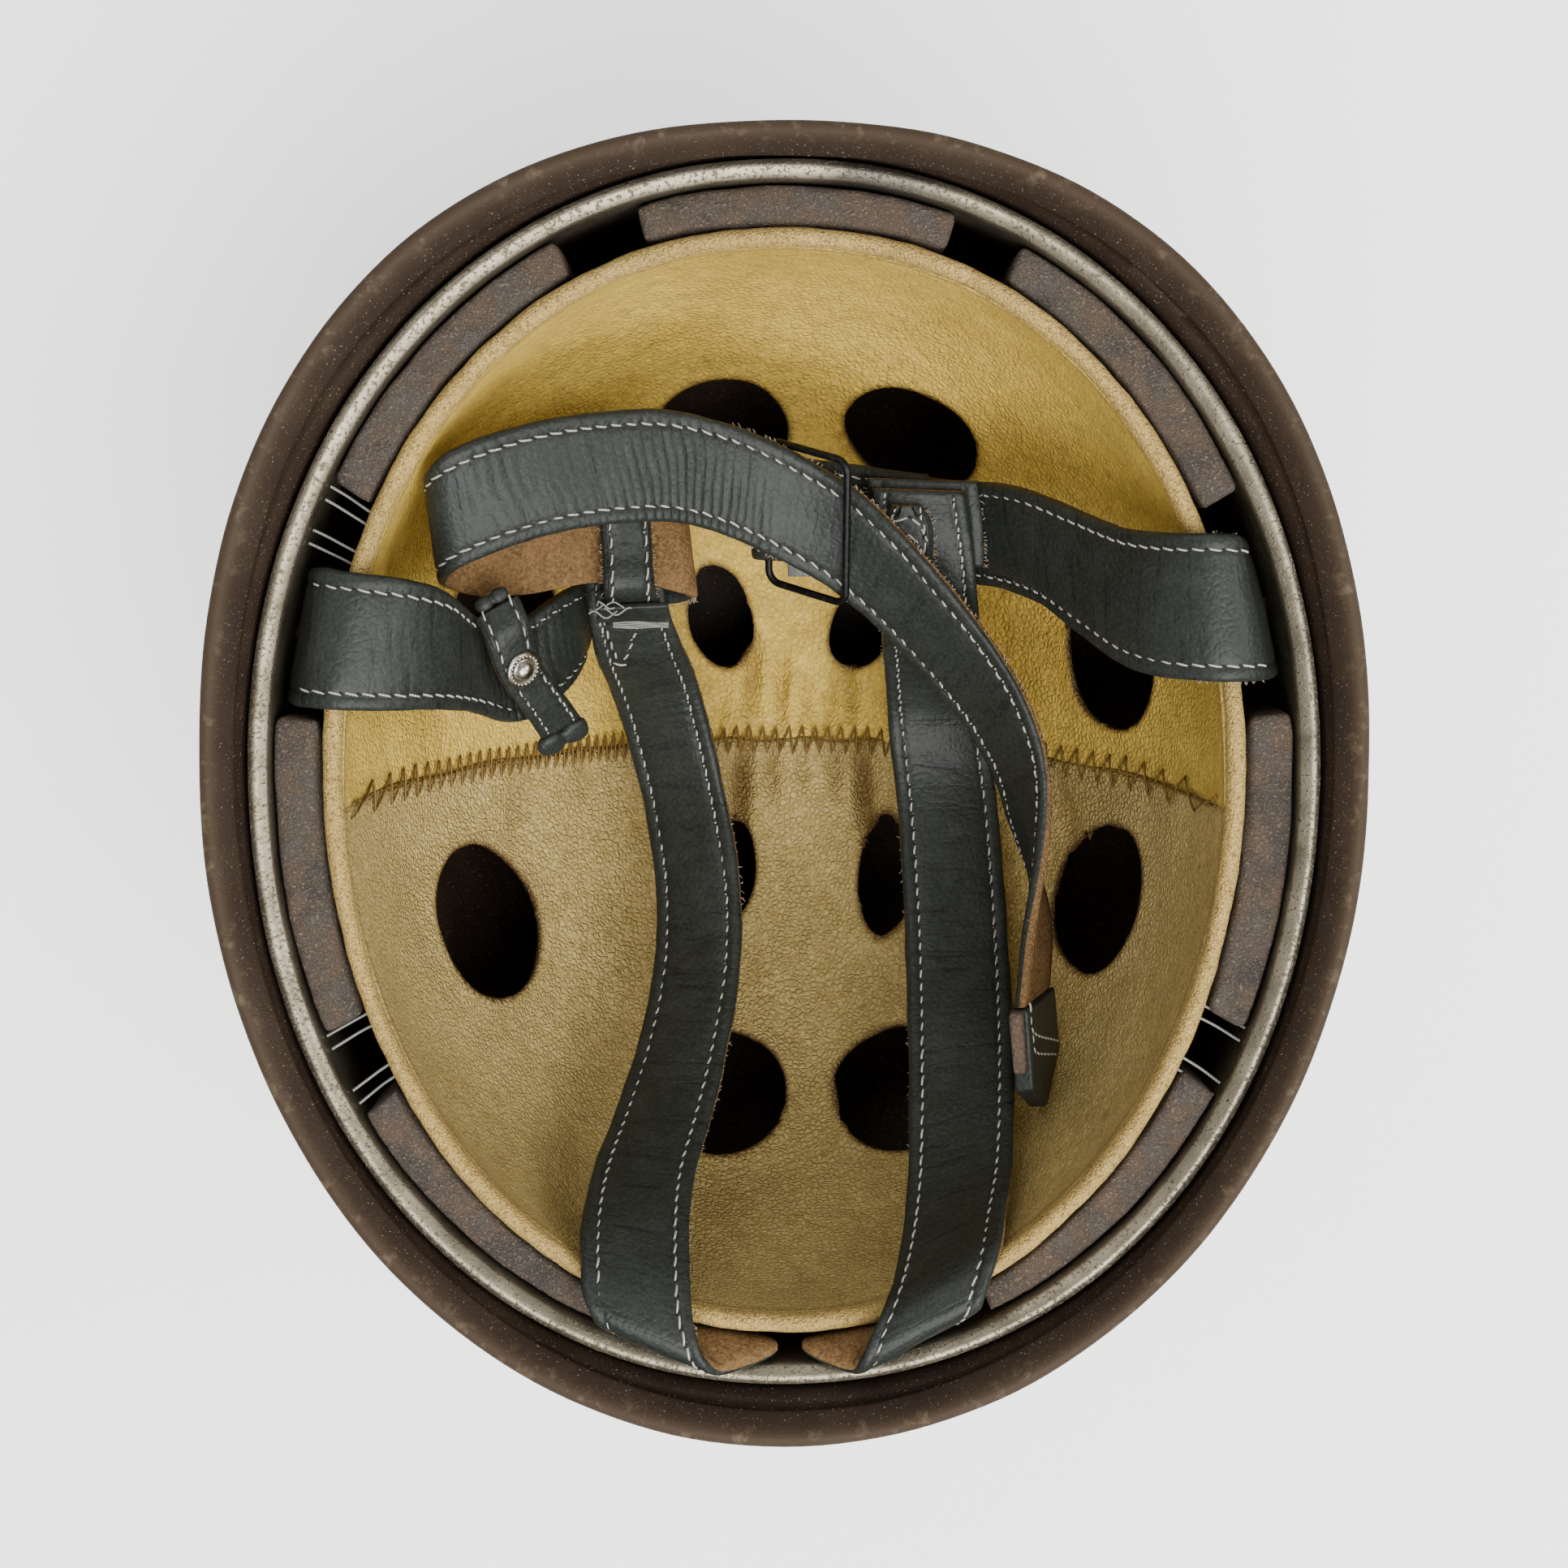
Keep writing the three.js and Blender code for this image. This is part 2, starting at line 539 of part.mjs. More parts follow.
function linerHeight(x, y) {
  const inner = HEM_WIDTH;
  let scale = START_SCALE;
  for (let i = 0; i < SEARCH_STEPS; i += 1) {
    const dy = y - WIDEST_Y * scale;
    scale = Math.hypot(x, dy) / ovalReach(Math.atan2(dy, x), HEM, inner);
  }
  const rise = 1 - (1 - Math.min(scale, RIM_SCALE) ** LINER_POWER) ** (1 / LINER_POWER);
  return LINER_LOW + (LINER_TOP - LINER_LOW) * rise;
}

function linerNormal(x, y) {
  const span = 2 * SLOPE_STEP;
  const slopeX = (linerHeight(x + SLOPE_STEP, y) - linerHeight(x - SLOPE_STEP, y)) / span;
  const slopeY = (linerHeight(x, y + SLOPE_STEP) - linerHeight(x, y - SLOPE_STEP)) / span;
  return new THREE.Vector3(slopeX, slopeY, -1).normalize();
}

// An oval cutter through the bowl's wall; its width runs level round the bowl
function holeCutter({ x, y, wide, tall, turn }) {
  const outline = new THREE.EllipseCurve(0, 0, wide / 2, tall / 2);
  const points = outline.getPoints(HOLE_SIDES).slice(0, HOLE_SIDES);
  const outward = linerNormal(x, y);
  const level = new THREE.Vector3(-outward.y, outward.x, 0).normalize();
  const downhill = outward.clone().cross(level);
  const middle = new THREE.Vector3(x, y, linerHeight(x, y));
  const spin = radians(turn);
  const rows = [-HOLE_CUT, HOLE_CUT].map((depth) => points.map((point) => {
    const across = point.x * Math.cos(spin) - point.y * Math.sin(spin);
    const down = point.x * Math.sin(spin) + point.y * Math.cos(spin);
    return middle.clone().addScaledVector(level, across).addScaledVector(downhill, down)
      .addScaledVector(outward, depth);
  }));
  return toSolid(skin(rows, false));
}

function seamY(x) {
  return SEAM.middle - SEAM.back * (x / HEM.half) ** 2;
}

// Everything ahead of the seam, or behind it, as one tall block
function seamSide(ahead) {
  const edge = ahead ? SEAM.gap / 2 : -SEAM.gap / 2;
  const far = ahead ? HEM.rear + HEM.front : -HEM.rear - HEM.front;
  const reach = HEM.half + BAND_WALL_INSET;
  const outline = [];
  for (let i = 0; i <= SEAM.steps; i += 1) {
    const x = THREE.MathUtils.lerp(-reach, reach, i / SEAM.steps);
    outline.push([x, seamY(x) + edge]);
  }
  outline.push([reach, far], [-reach, far]);
  const shape = new THREE.Shape(outline.map(([x, y]) => new THREE.Vector2(x, y)));
  const block = new THREE.ExtrudeGeometry(shape, { depth: HEIGHT, bevelEnabled: false });
  block.deleteAttribute('normal');
  block.deleteAttribute('uv');
  return toSolid(facingOut(mergeVertices(block)));
}

// Band: one section swept round the oval

function bandGeometry() {
  return skin(BAND_SECTION.map(({ inset, z }) => ovalRow(BAND, inset, z)), true);
}

// Pad: a block that follows the curve between band and hem

function padGeometry({ from, to }) {
  const rows = [];
  for (let i = 0; i <= PAD_STEPS; i += 1) {
    const angle = radians(THREE.MathUtils.lerp(from, to, i / PAD_STEPS));
    rows.push([
      ovalPoint(angle, HEM, -GAP * 2, PAD_BOTTOM),
      ovalPoint(angle, BAND, BAND_WALL_INSET + GAP * 2, PAD_BOTTOM),
      ovalPoint(angle, BAND, BAND_WALL_INSET + GAP * 2, PAD_TOP),
      ovalPoint(angle, HEM, -GAP * 2, PAD_TOP),
    ]);
  }
  return skin(rows, false);
}

// Bolts: a domed head outside, a shank, and a flat nut inside the strap

function boltAxis({ x, y }) {
  const outward = new THREE.Vector3(x / WALL.half ** 2, (y - WIDEST_Y) / WALL.rear ** 2, 0).normalize();
  return { inside: new THREE.Vector3(x, y, BOLT.z), outward };
}

function wallDistance({ x, y }, oval, inset) {
  const { outward } = boltAxis({ x, y });
  let near = 0;
  let far = WALL_REACH;
  for (let i = 0; i < SEARCH_STEPS; i += 1) {
    const mid = (near + far) / 2;
    const px = x + outward.x * mid;
    const py = y + outward.y * mid - WIDEST_Y;
    const inside = Math.hypot(px, py) < ovalReach(Math.atan2(py, px), oval, inset);
    [near, far] = inside ? [mid, far] : [near, mid];
  }
  return near;
}

// The dome is still a little inside its full oval at the bolts' height
const BOLT_SCALE = (1 - (1 - BOLT.z / DOME_TOP) ** DOME_POWER) ** (1 / DOME_POWER);

function boltGeometry(bolt) {
  const { inside, outward } = boltAxis(bolt);
  const seat = wallDistance(bolt, WALL, WALL.half * (1 - BOLT_SCALE)) + GAP;
  const nutFace = -STRAP / 2 - BOLT.slack;
  const profile = [
    [0, nutFace - BOLT.nutThick], [BOLT.nut, nutFace - BOLT.nutThick], [BOLT.nut, nutFace],
    [BOLT.shank, nutFace], [BOLT.shank, seat], [BOLT.head, seat],
    [BOLT.crown, seat + BOLT.crownRise], [0, seat + BOLT.dome],
  ];
  return turned(profile, BOLT.sides, inside, outward);
}

function boltHole(bolt) {
  const { inside, outward } = boltAxis(bolt);
  const profile = [[0, -STRAP], [BOLT.hole, -STRAP], [BOLT.hole, BOLT.holeReach], [0, BOLT.holeReach]];
  return toSolid(turned(profile, BOLT.sides, inside, outward));
}

// Buckle frame: a wire bent to a rectangle with round corners

function buckleFrame() {
  const bar = crossLine(BUCKLE);
  const left = new THREE.Vector3(...BUCKLE.left);
  const right = new THREE.Vector3(...BUCKLE.right);
  const rail = right.clone().sub(left);
  const middle = left.clone().add(right).multiplyScalar(0.5);
  const railUnit = rail.clone().normalize();
  const barUnit = bar.clone().addScaledVector(railUnit, -bar.dot(railUnit)).normalize();
  const face = railUnit.clone().cross(barUnit);
  const [halfRail, halfBar] = [rail.length() / 2, BUCKLE.length / 2];
  const rows = [];
  for (const [sx, sy, start] of [[1, 1, 0], [-1, 1, 90], [-1, -1, 180], [1, -1, 270]]) {
    for (let i = 0; i <= BUCKLE.cornerSteps; i += 1) {
      const angle = radians(start + (90 * i) / BUCKLE.cornerSteps);
      const out = railUnit.clone().multiplyScalar(Math.cos(angle)).addScaledVector(barUnit, Math.sin(angle));
      const centre = middle.clone()
        .addScaledVector(railUnit, sx * (halfRail - BUCKLE.corner))
        .addScaledVector(barUnit, sy * (halfBar - BUCKLE.corner))
        .addScaledVector(out, BUCKLE.corner);
      const row = [];
      for (let k = 0; k < BUCKLE.sides; k += 1) {
        const round = (2 * Math.PI * k) / BUCKLE.sides;
        row.push(centre.clone()
          .addScaledVector(out, (Math.cos(round) * BUCKLE.wire) / 2)
          .addScaledVector(face, (Math.sin(round) * BUCKLE.wire) / 2));
      }
      rows.push(row);
    }
  }
  return skin(rows, true);
}

// A small block set by its middle, its long direction, and its face direction
function block(middle, along, face, length, width, thick) {
  const side = face.clone().cross(along).normalize();
  const frame = new THREE.Matrix4().makeBasis(along.clone().normalize(), side, face.clone().normalize());
  frame.setPosition(middle);
  const geometry = new THREE.BoxGeometry(length, width, thick).applyMatrix4(frame);
  geometry.deleteAttribute('normal');
  geometry.deleteAttribute('uv');
  return facingOut(mergeVertices(geometry));
}

// Assembly

const boltHoles = BOLTS.map(boltHole);
const [holeLeft, holeRight, holeRearLeft, holeRearRight] = boltHoles;
const allBoltHoles = boltHoles.reduce((sum, hole) => sum.add(hole));

addPiece('shell', toGeometry(toSolid(shellGeometry()).subtract(allBoltHoles)), finish.steel);
addPiece('liner_band', toGeometry(toSolid(bandGeometry()).subtract(allBoltHoles)), finish.aluminium);
for (const bolt of BOLTS) {
  addPiece(bolt.name, boltGeometry(bolt), finish.steel);
}
for (const pad of PADS) {
  addPiece(pad.name, padGeometry(pad), finish.pad);
}

const liner = HOLES.map(holeCutter).reduce((bowl, hole) => bowl.subtract(hole), toSolid(linerGeometry()));
addPiece('liner_front', toGeometry(liner.intersect(seamSide(true))), finish.liner);
addPiece('liner_rear', toGeometry(liner.intersect(seamSide(false))), finish.liner);

for (const [name, rows, hole] of [
  ['side_strap_left', SIDE_LEFT, holeLeft],
  ['side_strap_right', SIDE_RIGHT, holeRight],
  ['rear_strap_left', REAR_LEFT, holeRearLeft],
  ['rear_strap_right', REAR_RIGHT, holeRearRight],
]) {
  addPiece(name, toGeometry(toSolid(strapGeometry(rows, STRAP, 2)).subtract(hole)), finish.strap);
}
addPiece('chin_strap', strapGeometry(CHIN, STRAP, 2), finish.strap);
addPiece('buckle_strap', strapGeometry(BUCKLE_STRAP, THIN_STRAP, 2), finish.strap);
addPiece('junction_tongue', strapGeometry(TONGUE, THIN_STRAP, 2), finish.strap);
addPiece('junction_backing', strapGeometry(BACKING, STEEL, 1), finish.strap);
addPiece('keeper_tab', strapGeometry(KEEPER_TAB, THIN_STRAP, 2), finish.strap);
addPiece('snap_tab', strapGeometry(SNAP_TAB, THIN_STRAP, 2), finish.strap);

addPiece('buckle_frame', buckleFrame(), finish.blackened);
addPiece('buckle_plate', block(
  new THREE.Vector3(BUCKLE_PLATE.x, BUCKLE_PLATE.y, BUCKLE_PLATE.z), crossLine(BUCKLE_PLATE),
  crossLine(BUCKLE_PLATE).cross(new THREE.Vector3(...BUCKLE_PLATE.run)),
  BUCKLE_PLATE.length, BUCKLE_PLATE.width, BUCKLE_PLATE.thick,
), finish.blackened);

// Press stud on the middle of the snap tab, and the rolled ends of the tab
const snapSamples = sampleStrap(SNAP_TAB, 2);
const snapMiddle = snapSamples[1];
const studSeat = snapMiddle.middle.clone().addScaledVector(snapMiddle.grain, THIN_STRAP / 2 + GAP * 2);
const studProfile = STUD_PROFILE.map(({ radius, height }) => [radius, height]);
addPiece('press_stud', turned(studProfile, STUD_SIDES, studSeat, snapMiddle.grain), finish.chrome);

for (const { name, section, away, length, width, thick } of SNAP_FOLDS) {
  const sample = snapSamples[section];
  const run = sample.grain.clone().cross(sample.across).normalize().multiplyScalar(away);
  const place = sample.middle.clone().addScaledVector(run, width / 2 + GAP);
  addPiece(name, block(place, sample.across, sample.grain, length, width, thick), finish.strap);
}

// Stitched cross band that holds the keeper tab down
const [, keeperFoot] = sampleStrap(KEEPER_TAB, KEEPER_TAB.length - 1);
const bandSeat = keeperFoot.middle.clone()
  .addScaledVector(keeperFoot.grain, THIN_STRAP / 2 + GAP * 3 + CROSS_BAND.thick / 2);
addPiece('keeper_band', block(
  bandSeat, keeperFoot.across, keeperFoot.grain, CROSS_BAND.length, CROSS_BAND.width, CROSS_BAND.thick,
), finish.strap);

// Reinforced point at the chin strap's free end, with the small bar along its upper edge
const [chinEnd] = sampleStrap(CHIN, CHIN.length - 1).slice(-1);
const chinRun = chinEnd.grain.clone().cross(chinEnd.across).normalize();
const chinAhead = chinRun.dot(new THREE.Vector3(0, -1, 0)) > 0 ? chinRun : chinRun.negate();
const tipShape = new THREE.Shape(TIP_OUTLINE.map(
  ({ along, across }) => new THREE.Vector2(along * TIP.length, across * TIP.width),
));
const tipGeometry = new THREE.ExtrudeGeometry(tipShape, { depth: TIP.thick, bevelEnabled: false });
tipGeometry.translate(GAP, 0, -TIP.thick / 2);
const tipFrame = new THREE.Matrix4().makeBasis(chinAhead, chinEnd.across, chinAhead.clone().cross(chinEnd.across));
tipFrame.setPosition(chinEnd.middle);
tipGeometry.applyMatrix4(tipFrame);
tipGeometry.deleteAttribute('normal');
tipGeometry.deleteAttribute('uv');
addPiece('strap_tip', facingOut(mergeVertices(tipGeometry)), finish.strap);
addPiece('tip_bar', block(
  chinEnd.middle.clone().addScaledVector(chinAhead, TIP_BAR.length / 2 + GAP)
    .addScaledVector(chinEnd.across, -TIP.width / 2 - TIP_BAR.width / 2 - GAP),
  chinAhead, chinAhead.clone().cross(chinEnd.across), TIP_BAR.length, TIP_BAR.width, TIP_BAR.thick,
), finish.raw);

export default helmet;
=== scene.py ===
"""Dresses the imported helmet: worn steel shell, aluminium band, leather liner, padded cushions and straps."""

import math
import random

import bmesh
import bpy
import numpy as np
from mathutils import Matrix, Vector, noise


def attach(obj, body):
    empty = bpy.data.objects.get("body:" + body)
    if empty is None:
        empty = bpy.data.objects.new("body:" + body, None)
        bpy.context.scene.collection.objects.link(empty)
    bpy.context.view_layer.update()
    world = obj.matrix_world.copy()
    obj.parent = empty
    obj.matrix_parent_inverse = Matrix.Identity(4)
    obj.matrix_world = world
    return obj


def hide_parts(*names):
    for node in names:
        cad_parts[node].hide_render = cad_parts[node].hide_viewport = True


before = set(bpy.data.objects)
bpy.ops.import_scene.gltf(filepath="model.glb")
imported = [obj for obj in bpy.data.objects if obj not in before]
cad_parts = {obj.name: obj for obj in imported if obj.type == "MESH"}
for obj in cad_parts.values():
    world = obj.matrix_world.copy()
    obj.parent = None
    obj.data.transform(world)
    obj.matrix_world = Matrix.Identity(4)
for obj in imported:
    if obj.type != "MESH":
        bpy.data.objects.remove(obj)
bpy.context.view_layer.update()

bl_info = {
    "name": "Paratrooper helmet dressing",
    "version": (1, 0, 0),
    "blender": (4, 5, 0),
    "location": "3D View > Sidebar > Helmet",
    "description": "Makes the visible pieces of a steel helmet with its leather liner and straps",
    "category": "Object",
}

MM = 0.001
BODY = "root"
SEED = 7

# Steps between two rows of a strap's table, where threads and the stud are placed on it
LINE_STEPS = 12

# Heights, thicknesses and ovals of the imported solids, in millimetres
WIDEST_Y = 3.6
STEEL = 1.4
LEATHER = 1.6
STRAP = 2.8
THIN_STRAP = 2.2
LIP = {"half": 120.8, "front": 134.2, "rear": 141.4, "square_front": 2.26, "square_rear": 2.01}
WALL = {"half": 114.3, "front": 129.6, "rear": 132.4, "square_front": 2.08, "square_rear": 2.09}
BAND = {"half": 112.2, "front": 127.5, "rear": 130.3, "square_front": 2.08, "square_rear": 2.09}
HEM = {"half": 97.2, "front": 114.1, "rear": 120.1, "square_front": 2.1, "square_rear": 2.06}
DOME = {"top": 140, "power": 2.3, "flat": 0.085}
BOWL = {"low": 38, "top": 146.5, "power": 2.2, "inset": 4.1}
SEAM = {"middle": 1.8, "back": 5.5}

# Shell flare: height and share of the way from wall to lip
FLARE = [(140, 0), (146, 0.01), (151, 0.04), (153.5, 0.12), (155.5, 0.24), (157.5, 0.42), (159, 0.66),
         (160.2, 0.9)]

# Rolled edge: inset from the lip, and height
ROLL = [(0, 160.9), (0.6, 161.7), (1.8, 162), (3.1, 161.4), (4.8, 159.8), (6.5, 157.9), (6.5, 157.3),
        (5.9, 157.1)]

# Band section: inset from the band's oval, and height
BAND_SECTION = [
    (0, 153.2), (1.8, 152.6), (3.5, 151.9), (4.0, 151.2), (4.2, 149.5), (4.2, 136), (4.2, 122.2), (4.0, 122),
    (3.0, 122), (2.8, 122.2), (2.8, 136), (2.8, 148), (2.4, 150), (1.8, 150.9), (0, 151.6),
]

# Ventilation holes: x, y, width round the bowl, height down the slope, turn, and how pointed the upper end is
HOLES = [
    (-16, 78, 34, 32, 0, 0), (31, 77, 34, 30, -20, 0), (-68, 34, 32, 36, 0, 0), (78, 25, 34, 34, 0, 0),
    (-16, 33, 16, 27, 20, 0), (21, 32, 16, 27, -10, 0), (-72, -38, 38, 36, 20, 0.1),
    (75, -32, 36, 34, -15, 0),
    (-15, -31, 16, 27, -30, 0), (25.5, -32, 14, 31, 50, 0), (-16, -82, 33, 36, 0, 0), (28, -81, 32, 37, 0, 0),
]

# Folds of the liner by its seam: place across, sideways run, start and end along the helmet, width, depth
FOLDS = [
    (-9.5, -2, 5, -24, 2.4, 5.2), (18.5, 2, 5, -25, 2.4, 5.4), (-24, -3, 3, -22, 2.4, 3.0),
    (31, 4, 4, -20, 2.2, 2.8),
    (-4, 1, 4, -14, 1.6, 2.4), (12, 1, 4, -14, 1.6, 2.4), (4, 1, 3, -11, 1.4, 1.4), (-9, 2, 4, 32, 2.2, 3.4),
    (17, -2, 4, 30, 2.0, 3.2), (-1, 1, 4, 24, 1.6, 2.0), (11, 2, 4, 24, 1.5, 2.0), (6, 0, 4, 20, 1.2, 1.4),
    (27, 2, 4, 24, 1.8, 1.8), (-62, -4, 0, -22, 2.6, 1.6), (64, 6, 0, -22, 2.4, 1.6),
    (-50, 2, 0, -14, 1.8, 1.2),
]

# Straps: x, y, z of the middle, swing and lean of the cross line in degrees, and width
STRAPS = {
    "side_strap_left": [
        (-102.4, 33, 121, -101, 0, 29), (-102.4, 33, 137, -101, 0, 29), (-100, 33, 148, -100, 0, 29.5),
        (-96.5, 33, 154, -98, 0, 29.5), (-90.5, 32.5, 155.5, -98, 0, 29), (-80, 31.5, 151.5, -95, -4, 28),
        (-72.5, 30, 143, -92, -8, 26), (-67.5, 26.5, 129, -84, -15, 24), (-63, 23.5, 118.5, -80, -10, 22.5),
        (-58, 24, 111, -78, 0, 21.5), (-51, 29, 103, -84, -4, 21.5), (-44.7, 34.5, 92.2, -104, -10, 22),
    ],
    "side_strap_right": [
        (101, 39, 121, 104, 0, 30), (101, 39, 137, 104, 0, 30), (98.8, 39, 148, 103, 0, 30.5),
        (95.5, 39.3, 154.5, 99, 0, 31), (89.5, 39.5, 156, 96, 0, 31), (81.5, 39.7, 152, 92, 0, 30.5),
        (73, 41.2, 142, 91, -5, 29.5), (64.5, 46, 127.5, 94, -8, 28), (54.5, 51.8, 112, 100, -3, 26),
        (44.5, 54, 97.5, 101, 5, 24.5), (35, 54.8, 90.5, 98, 4, 24.5), (26, 55.6, 88.8, 96, 0, 24.5),
    ],
    "rear_strap_left": [
        (-13.5, -118.4, 121, -8, 15, 24), (-18, -117.6, 137, -12, 15, 24.5),
        (-17.5, -117.2, 148.5, -10, 9, 33),
        (-25.4, -117.8, 155.6, -21, 5, 27.5), (-28.5, -114.5, 158.8, -23, 0, 26.5),
        (-30.5, -110, 158, -22, 0, 26),
        (-31.5, -104, 154.3, -17, -3, 24.5), (-32, -94, 141.5, -9, -6, 23.5), (-31, -86.5, 127, -5, 0, 22.5),
        (-27.5, -77.5, 110, 0, 12, 22.5), (-24, -66.5, 96, 3, 20, 22.5), (-20.7, -49, 81, 3, 24, 22.5),
        (-20.7, -31.5, 71, 2, 24, 22.5), (-24.3, -9.5, 66, 8, 24, 22), (-29.5, 13.5, 75, 12, 18, 21.5),
        (-33.6, 28, 93.5, 10, 4, 20), (-35.5, 37, 101.2, 8, 0, 18.5), (-36.6, 46, 102, 6, 0, 18),
    ],
    "rear_strap_right": [
        (14.5, -118.4, 121, 8, -15, 24), (19, -117.3, 137, 13, -15, 25), (20, -116.6, 148.5, 11, -9, 33),
        (27, -116.1, 155.8, 25, -6, 29), (29, -113, 159.2, 27, 0, 29), (31, -108.5, 158.5, 28, 0, 28.5),
        (33.5, -103.5, 155, 29, 0, 28), (36.5, -97, 142, 27, 0, 26), (39, -89, 127, 20, 0, 25),
        (40.4, -75.5, 111, 12, 0, 24.5), (41, -61.5, 97, 4, 0, 24.5), (41, -40.5, 80, 0, -3, 24.5),
        (39.5, -12.5, 67, -1, -5, 24.5), (37, 7.5, 67, -1, -6, 24), (35, 25, 80, -1, -4, 23.5),
        (33, 38, 98, -1, 0, 23), (31.5, 50, 104, -2, 0, 23), (30, 64, 106, -2, 0, 21),
    ],
    "chin_strap": [
        (-37, 49.5, 97.3, -86, 0, 24.5), (-27.5, 50, 97.4, -85, 0, 24.5), (-23.6, 51, 99, -84, 0, 24.5),
        (-22.4, 51.8, 102, -83, 0, 24.5), (-24.6, 53, 105.4, -83, 0, 24.5), (-33, 55, 106.5, -85, -1, 24.5),
        (-45, 55, 111.5, -85, -7, 24.5), (-57.5, 53, 119.5, -88, -12, 24.5),
        (-67, 52.7, 126.5, -90, -15, 24.5),
        (-72, 53.8, 131.5, -87, -16, 24.5), (-74, 55.3, 137, -85, -17, 24.5),
        (-71.3, 58.5, 141.3, -82, -18, 24.5),
        (-65, 61.8, 141.8, -77, -18, 24.5), (-51.5, 66.3, 137.5, -76, -14, 24.5),
        (-37, 68.7, 131, -79, -8, 24.5),
        (-24.7, 69, 125, -85, -6, 24.5), (-12.4, 66, 119.5, -93, -8, 24.5), (0, 60.5, 115, -99, -15, 24.5),
        (11.5, 54, 113, -104, -22, 24.5), (21.2, 46, 111.5, -112, -34, 24.5),
        (31, 35.8, 108, -118, -42, 24.5),
        (41, 24, 103.5, -122, -46, 24.5), (49, 12.5, 100, -128, -52, 24.5), (54.5, 0, 97.5, -138, -62, 24.5),
        (56.5, -13, 96.5, -155, -76, 24.5), (58.3, -34, 99, -170, -104, 24.5),
        (56.6, -51, 107.5, -172, -110, 24),
    ],
    "buckle_strap": [
        (34.5, 55, 94.3, 97, 4, 25.5), (26, 56, 93.6, 96, 6, 25.5), (18, 57.4, 95.8, 95, 12, 25.5),
        (10, 58.6, 100, 92, 19, 25.5), (4, 59.4, 104.2, 90, 23.5, 25.5), (-0.4, 59.8, 107.7, 90, 23.5, 25.5),
        (-3.2, 59.9, 108.8, 90, 23.5, 25.5), (-5.7, 59.9, 107.6, 90, 23.5, 25.5),
        (-6.2, 59.9, 105.2, 90, 23.5, 25.5),
        (-4.3, 59.8, 103.2, 90, 23.5, 25.5), (0, 59.5, 101.2, 90, 23.5, 25.5), (4, 59, 98, 90, 23, 25.5),
    ],
    "junction_tongue": [
        (27.5, 47, 106.1, -2, 0, 12), (27.5, 52, 107.8, -2, 0, 12), (27.5, 57, 108.6, -2, 0, 11),
        (27.4, 60.5, 109.1, -2, 0, 7),
    ],
    "junction_backing": [(32.5, 47, 100, -2, 0, 26), (32, 56, 102.3, -2, 0, 26),
        (31, 66.3, 103.7, -2, 0, 25)],
    "keeper_tab": [
        (-34.5, 34.5, 103.2, 2, -6, 12), (-34.5, 38.5, 106.1, 2, -12, 12), (-34.5, 43, 112.1, 2, -19, 12),
        (-34.8, 50, 111.3, 2, -22, 12), (-35.2, 57, 111.4, 2, -22, 12), (-35.5, 63, 111.9, 2, -22, 11),
    ],
    "snap_tab": [
        (-62, 38.5, 131.8, -150, 10, 10.5), (-59.7, 33.5, 132.6, -151, 17, 10.5),
        (-57.8, 25.6, 127.5, -152, 28, 10.5), (-53.2, 17.5, 120, -152, 26, 10.5),
        (-50, 11.5, 113.5, -152, 22, 10.5),
    ],
}
THIN = {"buckle_strap": THIN_STRAP, "junction_tongue": THIN_STRAP, "junction_backing": STEEL,
        "keeper_tab": THIN_STRAP, "snap_tab": THIN_STRAP}

# Narrow tabs, whose stitches lie closer to the edge, in millimetres
NARROW = ("keeper_tab", "snap_tab", "junction_tongue")
NARROW_RAIL = 1.9

# Rows between which each strap is stitched
STITCHED = [
    ("side_strap_left", 2.8, 10.9), ("side_strap_right", 2.8, 9.2), ("rear_strap_left", 3, 17),
    ("rear_strap_right", 3, 16.9), ("chin_strap", 9.5, 26), ("buckle_strap", 0.4, 7),
    ("keeper_tab", 1.4, 5), ("snap_tab", 0.1, 3.9), ("junction_tongue", 0.1, 2.6),
]

# Creases across a strap: row of their middle, spread in rows, depth, pitch, and how much deeper at one edge
CREASES = {
    "chin_strap": [(15.2, 1.5, 0.42, 2.3, 0.6), (12.4, 0.8, 0.2, 3.1, -0.5), (19.5, 1.2, 0.16, 2.8, 0.3)],
    "side_strap_left": [(8.6, 1.5, 0.4, 2.9, 0.2), (5.2, 0.8, 0.14, 3.3, 0)],
    "rear_strap_left": [(14.2, 1.2, 0.2, 2.7, 0.4), (11, 2.0, 0.1, 3.4, 0)],
}

# Loose fibres: strap, first and last row, sides, number, and reach in millimetres
FRAYS = [
    ("chin_strap", 16, 25.5, (-1, 1), 420, 1.1), ("chin_strap", 0, 3, (-1, 1), 90, 1.4),
    ("rear_strap_right", 4, 16, (-1,), 150, 0.9), ("rear_strap_left", 5, 16, (1,), 150, 0.9),
    ("side_strap_right", 2, 9, (-1, 1), 90, 0.9), ("junction_tongue", 0, 2.8, (-1, 1), 60, 1.6),
    ("junction_backing", 0, 1.8, (-1, 1), 60, 1.4), ("keeper_tab", 0, 5, (-1, 1), 60, 1.1),
]

# Stitches that cross a strap: its name, and rows with shares of the half width
CROSS_STITCHES = [
    ("rear_strap_left", [(16.2, -0.62), (15.4, -0.58), (14.8, -0.5), (15.0, -0.25), (15.4, 0), (15.7, 0.2)]),
    ("junction_tongue", [(0.6, -0.6), (1.2, -0.3), (1.6, 0), (1.2, 0.3), (0.6, 0.6)]),
    ("junction_tongue", [(1.4, -0.66), (2.1, -0.3), (2.4, 0), (2.1, 0.3), (1.4, 0.66)]),
]

